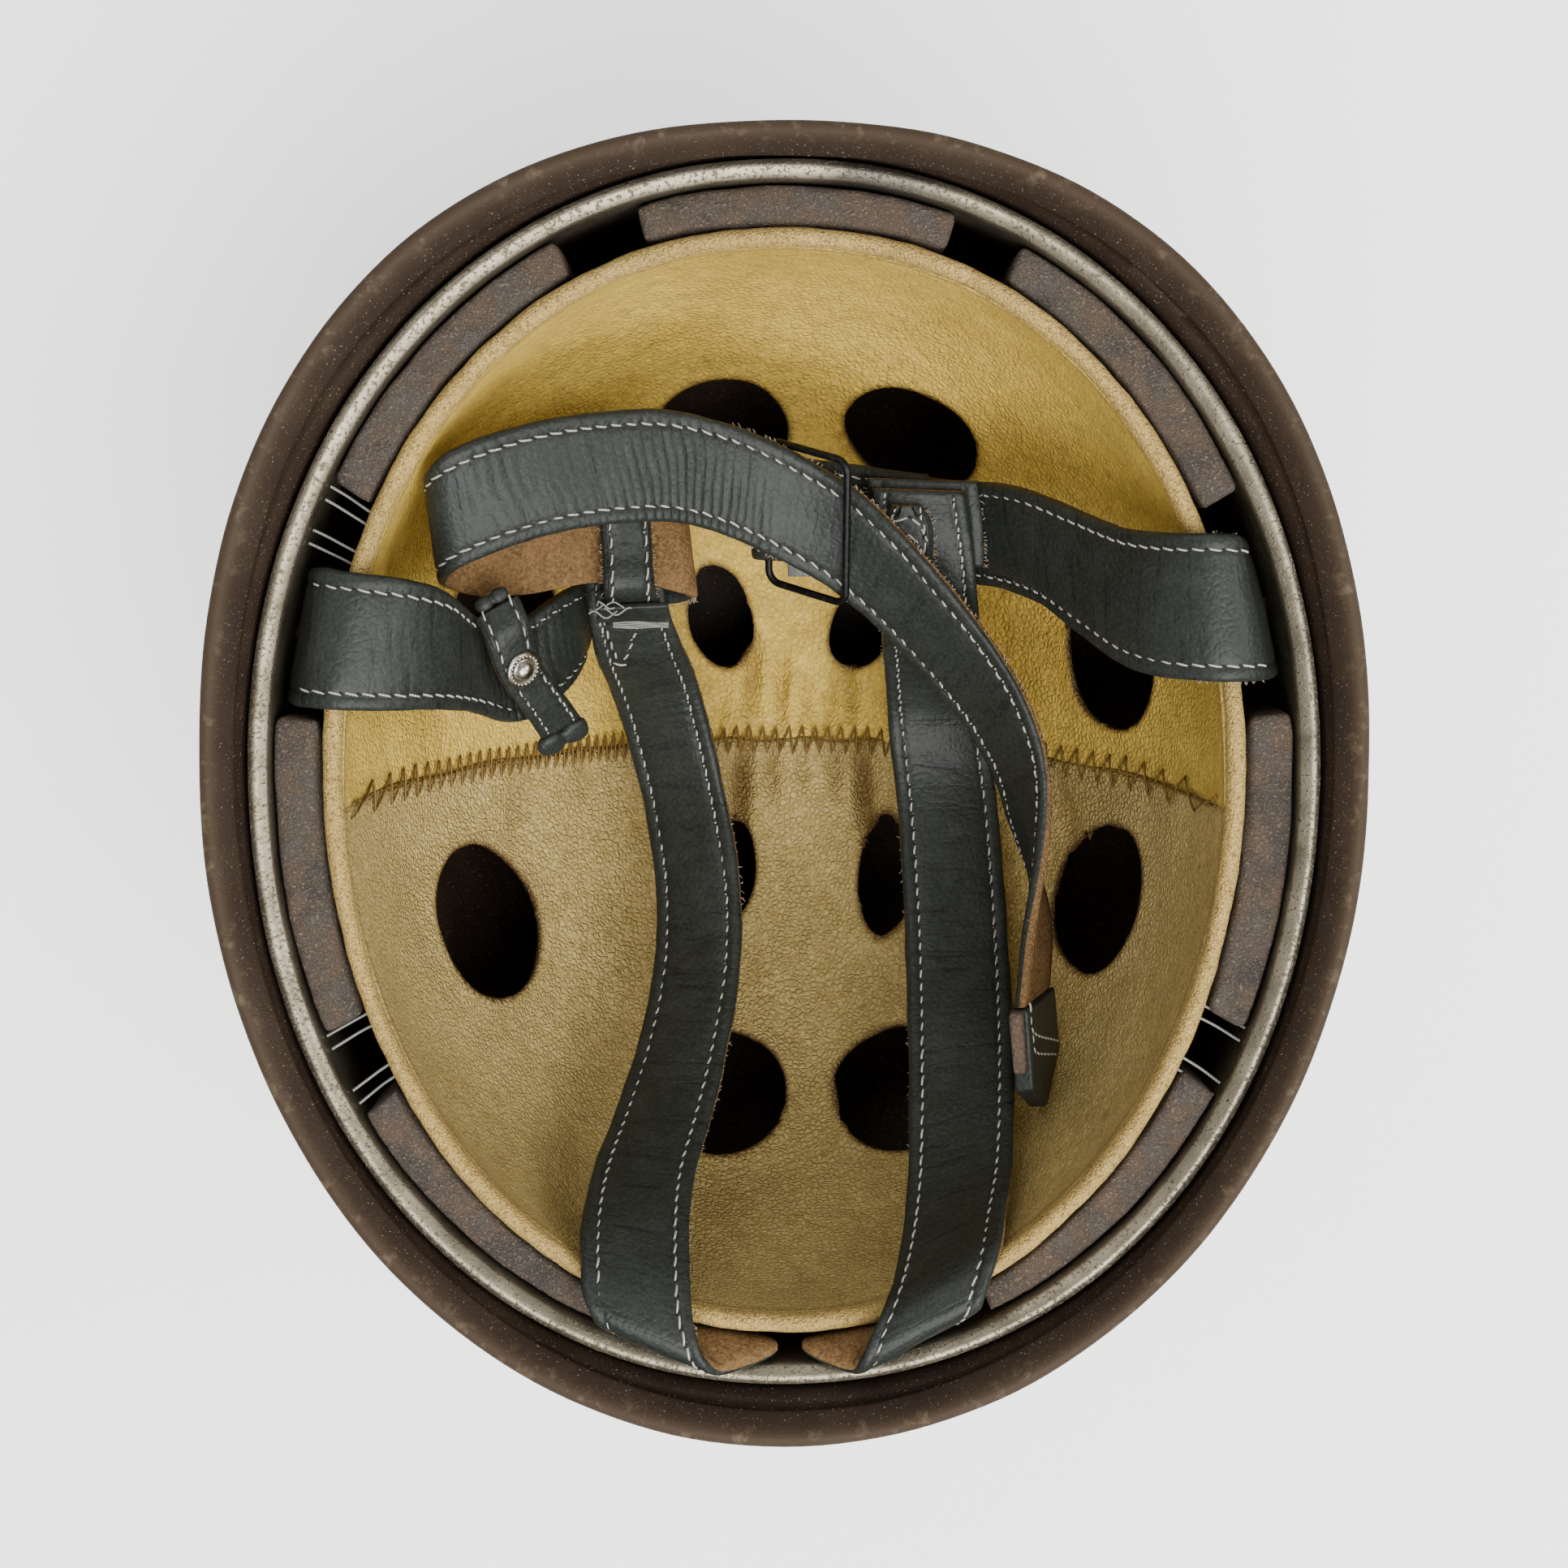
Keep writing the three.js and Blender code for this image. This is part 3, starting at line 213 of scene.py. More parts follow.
# Threads that cross the strap's point: shares of its length and width
TIP_STITCHES = [[(0.01, -0.4), (0.24, -0.36), (0.5, 0.42)], [(0.29, -0.4), (0.43, -0.33), (0.6, 0.3)]]

# Pads: compass directions of their ends, in degrees
PADS = {
    "pad_front": (73, 104.5), "pad_front_left": (113, 146.5), "pad_side_left": (173, 209.5),
    "pad_rear_left": (219, 252), "pad_rear_right": (291, 323.5), "pad_side_right": (331, 367.5),
    "pad_front_right": (32.5, 66),
}

# Height of a pad's underside and top, and its distance out from the hem and in from the band's oval
PAD_Z = (124.7, 149.9)
PAD_GAPS = (0.81, 5.01)

# Compass directions of the lacing threads that cross from band to hem
LACINGS = (148, 153, 210.5, 217, 324, 330.5)


# Numbers and meshes

def hex_linear(text):
    """An sRGB colour such as '#8a7a55' as linear red, green, blue and alpha."""
    channels = [int(text[i:i + 2], 16) / 255 for i in (1, 3, 5)]
    return tuple(c / 12.92 if c <= 0.04045 else ((c + 0.055) / 1.055) ** 2.4 for c in channels) + (1.0,)


def oval_reach(angles, oval, inset):
    """How far an oval reaches from its middle in each direction."""
    across = np.abs(np.cos(angles)) / (oval["half"] - inset)
    ahead = np.sin(angles) > 0
    along = np.abs(np.sin(angles)) / (np.where(ahead, oval["front"], oval["rear"]) - inset)
    square = np.where(ahead, oval["square_front"], oval["square_rear"])
    return (across ** square + along ** square) ** (-1 / square)


def oval_row(angles, oval, inset, z, scale=1.0):
    reach = oval_reach(angles, oval, inset) * scale
    across, along = np.cos(angles) * reach, WIDEST_Y * scale + np.sin(angles) * reach
    return np.stack([across, along, np.full_like(angles, z)], 1)


def mix_ovals(a, b, share):
    return {key: a[key] * (1 - share) + b[key] * share for key in a}


def dome_levels(low, top, power, count, least=0.0):
    """Scale and height of each row of a rounded dome, from near its pole to its full width."""
    turns = [math.pi / 2 * i / count for i in range(1, count + 1)]
    rows = [(math.sin(t) ** (2 / power), low + (top - low) * (1 - math.cos(t) ** (2 / power))) for t in turns]
    return [row for row in rows if row[0] > least]


def smooth_rows(rows, steps):
    """Rows of points with a soft curve run through them, steps times as fine."""
    rows = np.array(rows)
    padded = np.concatenate([2 * rows[:1] - rows[1:2], rows, 2 * rows[-1:] - rows[-2:-1]])
    fine = []
    for i in range(len(rows) - 1):
        p0, p1, p2, p3 = padded[i:i + 4]
        for k in range(steps):
            t = k / steps
            fine.append(0.5 * (2 * p1 + (p2 - p0) * t + (2 * p0 - 5 * p1 + 4 * p2 - p3) * t * t
                               + (3 * p1 - p0 - 3 * p2 + p3) * t ** 3))
    return np.array(fine + [rows[-1]])


def grid_faces(rows, cols, close_rows=False):
    """Faces of a grid whose columns run round, and whose rows may do so too."""
    faces = []
    for r in range(rows if close_rows else rows - 1):
        for c in range(cols):
            n, m = (r + 1) % rows, (c + 1) % cols
            faces.append((r * cols + c, r * cols + m, n * cols + m, n * cols + c))
    return faces


def add_piece(name, mesh):
    piece = bpy.data.objects.new(name, mesh)
    bpy.context.scene.collection.objects.link(piece)
    return piece


def shade_smooth(mesh):
    mesh.polygons.foreach_set("use_smooth", [True] * len(mesh.polygons))


def finish_mesh(name, points, faces, materials):
    """A piece in metres from points in millimetres, with its faces turned outwards."""
    mesh = bpy.data.meshes.new(name)
    mesh.from_pydata((np.asarray(points) * MM).tolist(), [], faces)
    mesh.update()
    for material in materials:
        mesh.materials.append(material)
    shape = bmesh.new()
    shape.from_mesh(mesh)
    bmesh.ops.recalc_face_normals(shape, faces=shape.faces)
    shape.to_mesh(mesh)
    shape.free()
    shade_smooth(mesh)
    return add_piece(name, mesh)


def set_attribute(mesh, name, values):
    layer = mesh.attributes.new(name, "FLOAT", "POINT")
    layer.data.foreach_set("value", np.asarray(values, dtype=np.float32))


def dress(piece, slot, *nodes):
    """Binds a piece to the body and hides the solids that it takes the place of; the material slot that it is
    given is not used.
    """
    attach(piece, BODY)
    if nodes:
        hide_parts(*nodes)
    return piece


def waves(points, size, seed=0.0):
    """Soft noise from -1 to 1 at each point, with bumps of the given size in millimetres."""
    return np.array([noise.noise(Vector(p) / size + Vector((seed, seed * 2, seed * 3))) for p in points])


def vertex_normals(mesh):
    out = np.empty(len(mesh.vertices) * 3)
    mesh.vertex_normals.foreach_get("vector", out)
    return out.reshape(-1, 3)


def push_out(mesh, amounts):
    """Moves each vertex along its normal by an amount in millimetres."""
    places = np.empty(len(mesh.vertices) * 3)
    mesh.vertices.foreach_get("co", places)
    places = places.reshape(-1, 3) + vertex_normals(mesh) * (np.asarray(amounts) * MM)[:, None]
    mesh.vertices.foreach_set("co", places.ravel())
    mesh.update()


# Materials

def add_node(tree, kind, inputs=None, **settings):
    """Adds a node with its settings, and sets or links its inputs."""
    node = tree.nodes.new(kind)
    for key, value in settings.items():
        setattr(node, key, value)
    for key, value in (inputs or {}).items():
        if isinstance(value, bpy.types.NodeSocket):
            tree.links.new(value, node.inputs[key])
        else:
            node.inputs[key].default_value = value
    return node


def new_material(name):
    material = bpy.data.materials.new(name)
    material.use_nodes = True
    tree = material.node_tree
    shader = tree.nodes["Principled BSDF"]
    place = add_node(tree, "ShaderNodeTexCoord").outputs["Object"]
    return material, tree, shader, place


def patches(tree, place, size_mm, low, high, detail=5.0, stretch=(1, 1, 1)):
    """A 0 to 1 pattern of patches of a real size: noise cut between two levels."""
    scaled = add_node(tree, "ShaderNodeMapping", {"Vector": place, "Scale": stretch}).outputs[0]
    cloud = add_node(tree, "ShaderNodeTexNoise", {
        "Vector": scaled, "Scale": 1 / (size_mm * MM), "Detail": detail, "Roughness": 0.6})
    return add_node(tree, "ShaderNodeMapRange", {
        "Value": cloud.outputs["Fac"], "From Min": low, "From Max": high}).outputs[0]


def blended(tree, share, first, second):
    return add_node(tree, "ShaderNodeMix", {0: share, 6: first, 7: second}, data_type="RGBA").outputs[2]


def scaled(tree, value, factor):
    return add_node(tree, "ShaderNodeMath", {0: value, 1: factor}, operation="MULTIPLY").outputs[0]


def tinted(tree, share, strength, base, colour):
    """Lays a colour over the base where the share is high, at no more than the strength."""
    return blended(tree, scaled(tree, share, strength), base, hex_linear(colour))


def attribute(tree, name):
    return add_node(tree, "ShaderNodeAttribute", attribute_name=name).outputs["Fac"]


def pebbles(tree, place, size_mm):
    """Leather grain: rounded cells of a real size with creases between them."""
    cells = add_node(tree, "ShaderNodeTexVoronoi", {
        "Vector": place, "Scale": 1 / (size_mm * MM), "Randomness": 1.0}, feature="DISTANCE_TO_EDGE")
    return add_node(tree, "ShaderNodeMapRange", {
        "Value": cells.outputs["Distance"], "From Min": 0.0, "From Max": 0.28}).outputs[0]


def bumped(tree, shader, *layers):
    """Stacks heights, each with a depth in millimetres, into the shader's normal."""
    normal = None
    for height, depth in layers:
        inputs = {"Height": height, "Strength": 1.0, "Distance": depth * MM}
        if normal is not None:
            inputs["Normal"] = normal
        normal = add_node(tree, "ShaderNodeBump", inputs).outputs[0]
    tree.links.new(normal, shader.inputs["Normal"])


def worn_painted_steel():
    # Matt brown field paint on pressed steel: dull, finely speckled, rolled edge rubbed paler, with a painted
    # highlight
    material, tree, shader, place = new_material("worn painted steel")
    rim_wear_and_highlight = attribute(tree, "rim_wear_and_highlight")
    specks = patches(tree, place, 0.45, 0.68, 0.76, 1.0)
    stains = patches(tree, place, 14, 0.4, 0.65)
    scuffs = patches(tree, place, 3.2, 0.55, 0.7, 6.0, (1, 1, 0.25))
    rubbed = add_node(tree, "ShaderNodeMath", {0: rim_wear_and_highlight, 1: scuffs}, operation="MULTIPLY").outputs[0]
    base = blended(tree, stains, hex_linear("#271d16"), hex_linear("#2f251c"))
    base = blended(tree, specks, base, hex_linear("#7a6f60"))
    # Paler along the top of the rolled edge: partly worn paint, partly a painted highlight
    base = blended(tree, rim_wear_and_highlight, base, hex_linear("#3d3124"))
    base = blended(tree, rubbed, base, hex_linear("#564a39"))
    tree.links.new(base, shader.inputs["Base Color"])
    rough = add_node(tree, "ShaderNodeMapRange", {"Value": stains, "To Min": 0.62, "To Max": 0.5}).outputs[0]
    tree.links.new(rough, shader.inputs["Roughness"])
    shader.inputs["Specular IOR Level"].default_value = 0.12
    bumped(tree, shader, (stains, 0.06), (patches(tree, place, 0.6, 0.3, 0.7), 0.05), (scuffs, 0.04))
    return material


def pitted_aluminium():
    # Rolled aluminium strip, oxidised: dull grey shine broken by dark pits; painted dark reflection at the
    # front
    material, tree, shader, place = new_material("pitted aluminium")
    flecks = patches(tree, place, 0.8, 0.53, 0.66, 8.0)
    tarnish = patches(tree, place, 9, 0.35, 0.7)
    base = blended(tree, tarnish, hex_linear("#8f8673"), hex_linear("#665e4e"))
    base = blended(tree, flecks, base, hex_linear("#4f493c"))
    # Painted dark reflection: the band is coloured darker where the dull mask marks its front stretch
    base = blended(tree, attribute(tree, "dull"), base, hex_linear("#3f3d38"))
    tree.links.new(base, shader.inputs["Base Color"])
    shader.inputs["Metallic"].default_value = 0.85
    shader.inputs["Roughness"].default_value = 0.33
    bumped(tree, shader, (flecks, 0.05), (tarnish, 0.05))
    return material


def liner_leather(name, pale, deep, grain_mm, grain_depth, flecked=0.25):
    # Vegetable tanned split, drum dyed ochre: soft sheen, fine grain, painted shade in its folds, browner round
    # its holes
    material, tree, shader, place = new_material(name)
    shade = patches(tree, place, 26, 0.35, 0.68)
    mottle = patches(tree, place, 3.4, 0.4, 0.66, 6.0)
    stains = patches(tree, place, 5.0, 0.62, 0.74, 3.0)
    scratches = patches(tree, place, 1.6, 0.6, 0.7, 2.0, (0.15, 1, 1))
    base = blended(tree, shade, hex_linear(pale), hex_linear(deep))
    base = tinted(tree, mottle, 0.45, base, "#93803f")
    base = tinted(tree, patches(tree, place, 1.1, 0.5, 0.7, 6.0), 0.25, base, "#dac27a")
    base = tinted(tree, attribute(tree, "edge"), 1.0, base, "#bfa05e")
    # Painted shade: darker brown in the fold valleys
    base = tinted(tree, attribute(tree, "fold"), 0.9, base, "#62471a")
    # Darker brown round the hole edges, and painted shade where the panels run under the hem roll
    base = tinted(tree, attribute(tree, "cut"), 1.0, base, "#5a4422")
    base = tinted(tree, patches(tree, place, 0.7, 0.5, 0.66, 6.0), flecked, base, "#7a5f34")
    base = tinted(tree, stains, 0.4, base, "#6b5028")
    tree.links.new(base, shader.inputs["Base Color"])
    shader.inputs["Roughness"].default_value = 0.5
    shader.inputs["Specular IOR Level"].default_value = 0.3
    grain = pebbles(tree, place, grain_mm)
    bumped(tree, shader, (shade, 0.25), (mottle, 0.12), (grain, grain_depth), (scratches, 0.05))
    return material


def strap_leather():
    # Chrome tanned strap, dyed slate black: pebbled grain, fine cross creases, rubbed greyer on its bends
    material, tree, shader, place = new_material("dyed strap leather")
    along = add_node(tree, "ShaderNodeUVMap", uv_map="strip").outputs[0]
    creases = patches(tree, along, 2.6, 0.52, 0.74, 3.0, (1, 0.14, 1))
    pores = patches(tree, place, 0.8, 0.42, 0.62, 4.0)
    rubbed = patches(tree, place, 7, 0.5, 0.7)
    base = blended(tree, rubbed, hex_linear("#20231f"), hex_linear("#282b27"))
    # Painted shade: the crease grooves are coloured darker
    base = blended(tree, creases, base, hex_linear("#141615"))
    base = tinted(tree, pores, 0.3, base, "#383c39")
    tree.links.new(base, shader.inputs["Base Color"])
    shader.inputs["Roughness"].default_value = 0.4
    shader.inputs["Specular IOR Level"].default_value = 0.2
    bumped(tree, shader, (creases, -0.1), (pebbles(tree, place, 1.9), 0.05), (pores, 0.01))
    return material


def flesh_leather(name="raw flesh side leather", pale="#6b5034", deep="#4a3722", fibre="#8a6c45"):
    # The flesh side and cut edge: undyed brown fibre, rough and without shine
    material, tree, shader, place = new_material(name)
    fibres = patches(tree, place, 0.9, 0.35, 0.7, 8.0)
    stains = patches(tree, place, 6, 0.4, 0.66)
    base = blended(tree, stains, hex_linear(pale), hex_linear(deep))
    base = blended(tree, fibres, base, hex_linear(fibre))
    tree.links.new(base, shader.inputs["Base Color"])
    shader.inputs["Roughness"].default_value = 0.9
    shader.inputs["Specular IOR Level"].default_value = 0.1
    bumped(tree, shader, (fibres, 0.4), (stains, 0.1))
    return material


def pad_suede():
    # Sueded split leather over felt: warm brown nap, worn to blue-grey and rubbed darker in patches
    material, tree, shader, place = new_material("scuffed suede")
    nap = patches(tree, place, 7, 0.42, 0.6, 8.0)
    worn = patches(tree, place, 11, 0.5, 0.64, 6.0)
    fibres = patches(tree, place, 0.6, 0.42, 0.62, 6.0)
    base = blended(tree, nap, hex_linear("#574a3e"), hex_linear("#4d4a46"))
    base = blended(tree, worn, base, hex_linear("#3b3a38"))
    base = tinted(tree, fibres, 0.6, base, "#7c6c5d")
    tree.links.new(base, shader.inputs["Base Color"])
    shader.inputs["Roughness"].default_value = 0.95
    shader.inputs["Specular IOR Level"].default_value = 0.15
    bumped(tree, shader, (nap, 0.5), (fibres, 0.35))
    return material


def spun_thread(name, colour, dark):
    # Waxed linen thread: twisted plies show as fine slanting bands
    material, tree, shader, place = new_material(name)
    plies = add_node(tree, "ShaderNodeTexWave", {
        "Vector": place, "Scale": 1 / (1.6 * MM), "Distortion": 2.0}).outputs["Fac"]
    base = blended(tree, plies, hex_linear(colour), hex_linear(dark))
    tree.links.new(base, shader.inputs["Base Color"])
    shader.inputs["Roughness"].default_value = 0.8
    bumped(tree, shader, (plies, 0.05))
    return material


def metal(name, colour, roughness, metallic, spots):
    # Plated or blackened steel: small spots of tarnish break the shine
    material, tree, shader, place = new_material(name)
    tarnish = patches(tree, place, 1.2, 0.5, 0.75, 5.0)
    base = blended(tree, tarnish, hex_linear(colour), hex_linear(spots))
    tree.links.new(base, shader.inputs["Base Color"])
    shader.inputs["Metallic"].default_value = metallic
    rough = add_node(tree, "ShaderNodeMapRange", {
        "Value": tarnish, "To Min": roughness, "To Max": min(roughness + 0.25, 1.0)}).outputs[0]
    tree.links.new(rough, shader.inputs["Roughness"])
    bumped(tree, shader, (tarnish, 0.02))
    return material


def make_materials():
    return {
        "steel": worn_painted_steel(),
        "aluminium": pitted_aluminium(),
        "front": liner_leather("ochre liner leather", "#dcbb56", "#c4a348", 1.5, 0.3),
        "hem": liner_leather("handled hem leather", "#b3985a", "#9c8148", 0.8, 0.22, 1.0),
        "rear": liner_leather("olive liner leather", "#c0a86c", "#a8925c", 1.3, 0.42),
        "strap": strap_leather(),
        "raw": flesh_leather(),
        "suede": pad_suede(),
        "white": spun_thread("waxed white thread", "#b9b7ab", "#8b887c"),
        "needle_hole_shade": spun_thread("shadowed needle hole", "#0c0d0d", "#141414"),
        "gold": spun_thread("waxed golden thread", "#7f5f1b", "#42310d"),
        "bar": flesh_leather("worn keeper leather", "#5a4b40", "#40352c", "#6e5e50"),
        "fibre": spun_thread("frayed leather fibre", "#a0907a", "#6f6250"),
        "grey": spun_thread("grey lacing thread", "#8f8f88", "#66665f"),
        "black": metal("blackened steel wire", "#1b1c1e", 0.4, 0.85, "#35322e"),
        "chrome": metal("nickel plated brass", "#a8a59a", 0.2, 1.0, "#3f3c34"),
        "plate": metal("dull grey steel", "#5b5c58", 0.5, 0.9, "#3a3833"),
    }


# Shell, band and bolts

def make_shell(kit):
    angles = np.linspace(0, 2 * math.pi, kit.sizes.around, endpoint=False)
    outer = [oval_row(angles, WALL, 0, 0, DOME["flat"])]
    outer += [oval_row(angles, WALL, 0, z, s)
              for s, z in dome_levels(0, DOME["top"], DOME["power"], 40, DOME["flat"])]
    edge = [oval_row(angles, mix_ovals(WALL, LIP, share), 0, z) for z, share in FLARE]
    edge += [oval_row(angles, LIP, inset, z) for inset, z in ROLL]
    inner = [oval_row(angles, mix_ovals(WALL, LIP, share), STEEL, z) for z, share in FLARE[4:0:-1]]
    inner += [oval_row(angles, WALL, STEEL, z, s)
              for s, z in reversed(dome_levels(STEEL, DOME["top"], DOME["power"], 40, DOME["flat"]))]
    inner.append(oval_row(angles, WALL, 0, STEEL, DOME["flat"]))
    rows = np.concatenate([np.array(outer[:-1]), smooth_rows(edge, 4), np.array(inner)])
    count = len(rows)
    faces = grid_faces(count, len(angles))
    last = (count - 1) * len(angles)
    faces += [tuple(range(len(angles))), tuple(range(last, last + len(angles)))]
    points = rows.reshape(-1, 3)
    piece = finish_mesh("steel_shell", points, faces, [kit.materials["steel"]])
    # Mask along the top of the rolled edge, for its wear and for a painted highlight
    lip_reach = np.hypot(points[:, 0], points[:, 1] - WIDEST_Y)
    full = oval_reach(np.arctan2(points[:, 1] - WIDEST_Y, points[:, 0]), LIP, 0)
    near = np.exp(-((full - lip_reach - 1.6) / 2.2) ** 2) * (points[:, 2] > 156)
    set_attribute(piece.data, "rim_wear_and_highlight", near)
    push_out(piece.data, waves(points, 22) * 0.25 * (points[:, 2] > 20))
    return dress(piece, "shell_paint", "shell")


def make_band(kit):
    angles = np.linspace(0, 2 * math.pi, kit.sizes.around, endpoint=False)
    rows = [oval_row(angles, BAND, inset, z) for inset, z in BAND_SECTION]
    faces = grid_faces(len(rows), len(angles), close_rows=True)
    piece = finish_mesh("aluminium_band", np.concatenate(rows), faces, [kit.materials["aluminium"]])
    push_out(piece.data, waves(np.concatenate(rows), 16, 3.0) * 0.12)
    # Mask for a painted dark reflection on a stretch of the band near the front
    set_attribute(piece.data, "dull", np.tile(0.8 * np.exp(-((angles - 1.41) / 0.1) ** 4), len(rows)))
    return dress(piece, "band_metal", "liner_band")


def softened_copy(kit, name, node, slot, materials, width=0.4, segments=3):
    """A copy of a small solid with its doubles merged and its edges rounded."""
    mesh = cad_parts[node].data.copy()
    mesh.name = name
    shape = bmesh.new()
    shape.from_mesh(mesh)
    bmesh.ops.remove_doubles(shape, verts=shape.verts, dist=0.01 * MM)
    bmesh.ops.dissolve_limit(shape, angle_limit=math.radians(1), verts=shape.verts, edges=shape.edges)
    shape.to_mesh(mesh)
    shape.free()
    mesh.materials.clear()
    for material in materials:
        mesh.materials.append(material)
    shade_smooth(mesh)
    piece = add_piece(name, mesh)
    bevel = piece.modifiers.new("rounded edges", "BEVEL")
    bevel.width = width * MM
    bevel.segments = segments
    bevel.limit_method = "ANGLE"
    bevel.harden_normals = True
    return dress(piece, slot, node)


# Liner

def seam_y(x):
    return SEAM["middle"] - SEAM["back"] * (x / HEM["half"]) ** 2


def liner_scale(x, y):
    """Size of the oval that passes through a point, as a share of the hem's, found by correcting a guess."""
    scale = np.full_like(np.asarray(x, dtype=float), 0.5)
    for _ in range(40):
        dy = y - WIDEST_Y * scale
        scale = np.hypot(x, dy) / oval_reach(np.arctan2(dy, x), HEM, BOWL["inset"])
    return scale


def liner_z(x, y):
    """Height of the bowl's inside above a point."""
    scale = np.minimum(liner_scale(x, y), 0.9995)
    power = BOWL["power"]
    return BOWL["low"] + (BOWL["top"] - BOWL["low"]) * (1 - (1 - scale ** power) ** (1 / power))


def hole_frame(x, y):
    """Place on the bowl's inside below a point, and the level, downhill and outward ways from it."""
    step = 0.5
    slope_x = float(liner_z(x + step, y) - liner_z(x - step, y)) / (2 * step)
    slope_y = float(liner_z(x, y + step) - liner_z(x, y - step)) / (2 * step)
    outward = np.array([slope_x, slope_y, -1])
    outward /= np.linalg.norm(outward)
    level = np.array([-outward[1], outward[0], 0])
    level /= np.linalg.norm(level)
    return np.array([x, y, float(liner_z(x, y))]), level, np.cross(outward, level), outward


def hole_distance(points, hole):
    """Ratio of each point's distance from a hole's middle to that of the cut edge, then the hole's
    middle, the outward way and half of its smaller side."""
    x, y, wide, tall, turn, point = hole
    middle, level, downhill, outward = hole_frame(x, y)
    away = points - middle
    across, down, depth = away @ level, away @ downhill, away @ outward
    spin = math.radians(turn)
    a = (across * math.cos(spin) + down * math.sin(spin)) / (wide / 2)
    b = (down * math.cos(spin) - across * math.sin(spin)) / (tall / 2)
    bearing = np.arctan2(b, a)
    outline = 1 + 0.018 * np.sin(3 * bearing + x) + 0.012 * np.sin(5 * bearing + y)
    outline = outline + point * np.maximum(0, np.cos(bearing + math.pi / 2)) ** 6
    ratio = np.hypot(a, b) / outline
    ratio = np.where(np.abs(depth) > 14, 9, ratio)
    return ratio, middle, outward, min(wide, tall) / 2


def liner_grid(kit):
    """Points and faces of the bowl's inside, row by row from the pole, with the seam along a grid line."""
    cols, rows = kit.sizes.liner_around, kit.sizes.liner_rows
    angles = np.linspace(0, 2 * math.pi, cols, endpoint=False)
    levels = dome_levels(BOWL["low"], BOWL["top"], BOWL["power"], rows)
    table = [oval_row(angles, HEM, BOWL["inset"], z, s) for s, z in levels]
    table += [oval_row(angles, HEM, BOWL["inset"], BOWL["top"] + rise) for rise in (0.8, 1.6)]
    points = np.array(table)
    for r, middle in enumerate([s * WIDEST_Y for s, _ in levels] + [WIDEST_Y] * 2):
        x, y = points[r, :, 0], points[r, :, 1]
        points[r, :, 1] += (seam_y(x) - middle) * np.exp(-((y - middle) / 22) ** 2)
    return points.reshape(-1, 3), np.array(grid_faces(len(table), cols))


def cut_holes(points, faces):
    """Moves the points just inside each hole onto its edge, and tells which points the holes take away."""
    drop = np.zeros(len(points), dtype=bool)
    cut, lift = np.zeros(len(points)), np.zeros(len(points))
    for hole in HOLES:
        ratio, middle, outward, radius = hole_distance(points, hole)
        inside = ratio < 1
        drop |= inside
        rim = inside & np.isin(np.arange(len(points)), faces[~inside[faces].all(axis=1)].ravel())
        away = points[rim] - middle
        flat = away - np.outer(away @ outward, outward)
        points[rim] += flat * (1 / np.maximum(ratio[rim], 0.2) - 1)[:, None]
        gap = np.maximum((ratio - 1) * radius, 0)
        cut = np.maximum(cut, np.exp(-(gap / 0.7) ** 2) * (ratio < 4))
        lift += 0.9 * np.exp(-(gap / 3.5) ** 2) * (ratio < 4)
    return drop, cut, lift


def liner_relief(points):
    """How far the leather stands up at its seam, waves and folds, and how deep in a fold it lies."""
    x, y = points[:, 0], points[:, 1]
    seam_gap = y - seam_y(x)
    lift = 0.7 * np.exp(-(seam_gap / 2.6) ** 2) - 0.5 * np.exp(-(seam_gap / 0.6) ** 2)
    middle_share = np.exp(-(x / 40) ** 2 - ((y - 5) / 55) ** 2)
    lift += waves(points, 17, 1.0) * (0.5 + 1.3 * middle_share) + waves(points, 48, 5.0) * 1.3
    ripple = np.sin(x / 1.9 + waves(points, 30, 2.0) * 3.5)
    lift += 0.8 * middle_share * ripple * np.exp(-(seam_gap / 20) ** 2)
    fold = np.zeros(len(points))
    for across, lean, start, end, wide, deep in FOLDS:
        along = (y - start) / (end - start)
        line = across + lean * along
        dip = np.exp(-((x - line) / wide) ** 2) * np.clip(np.sin(np.clip(along, 0, 1) * math.pi), 0, 1) ** 0.7
        lift -= deep * dip
        # The fold depth also sets the painted shade in the fold valleys
        fold = np.maximum(fold, dip * min(deep / 5, 1))
    return lift, fold


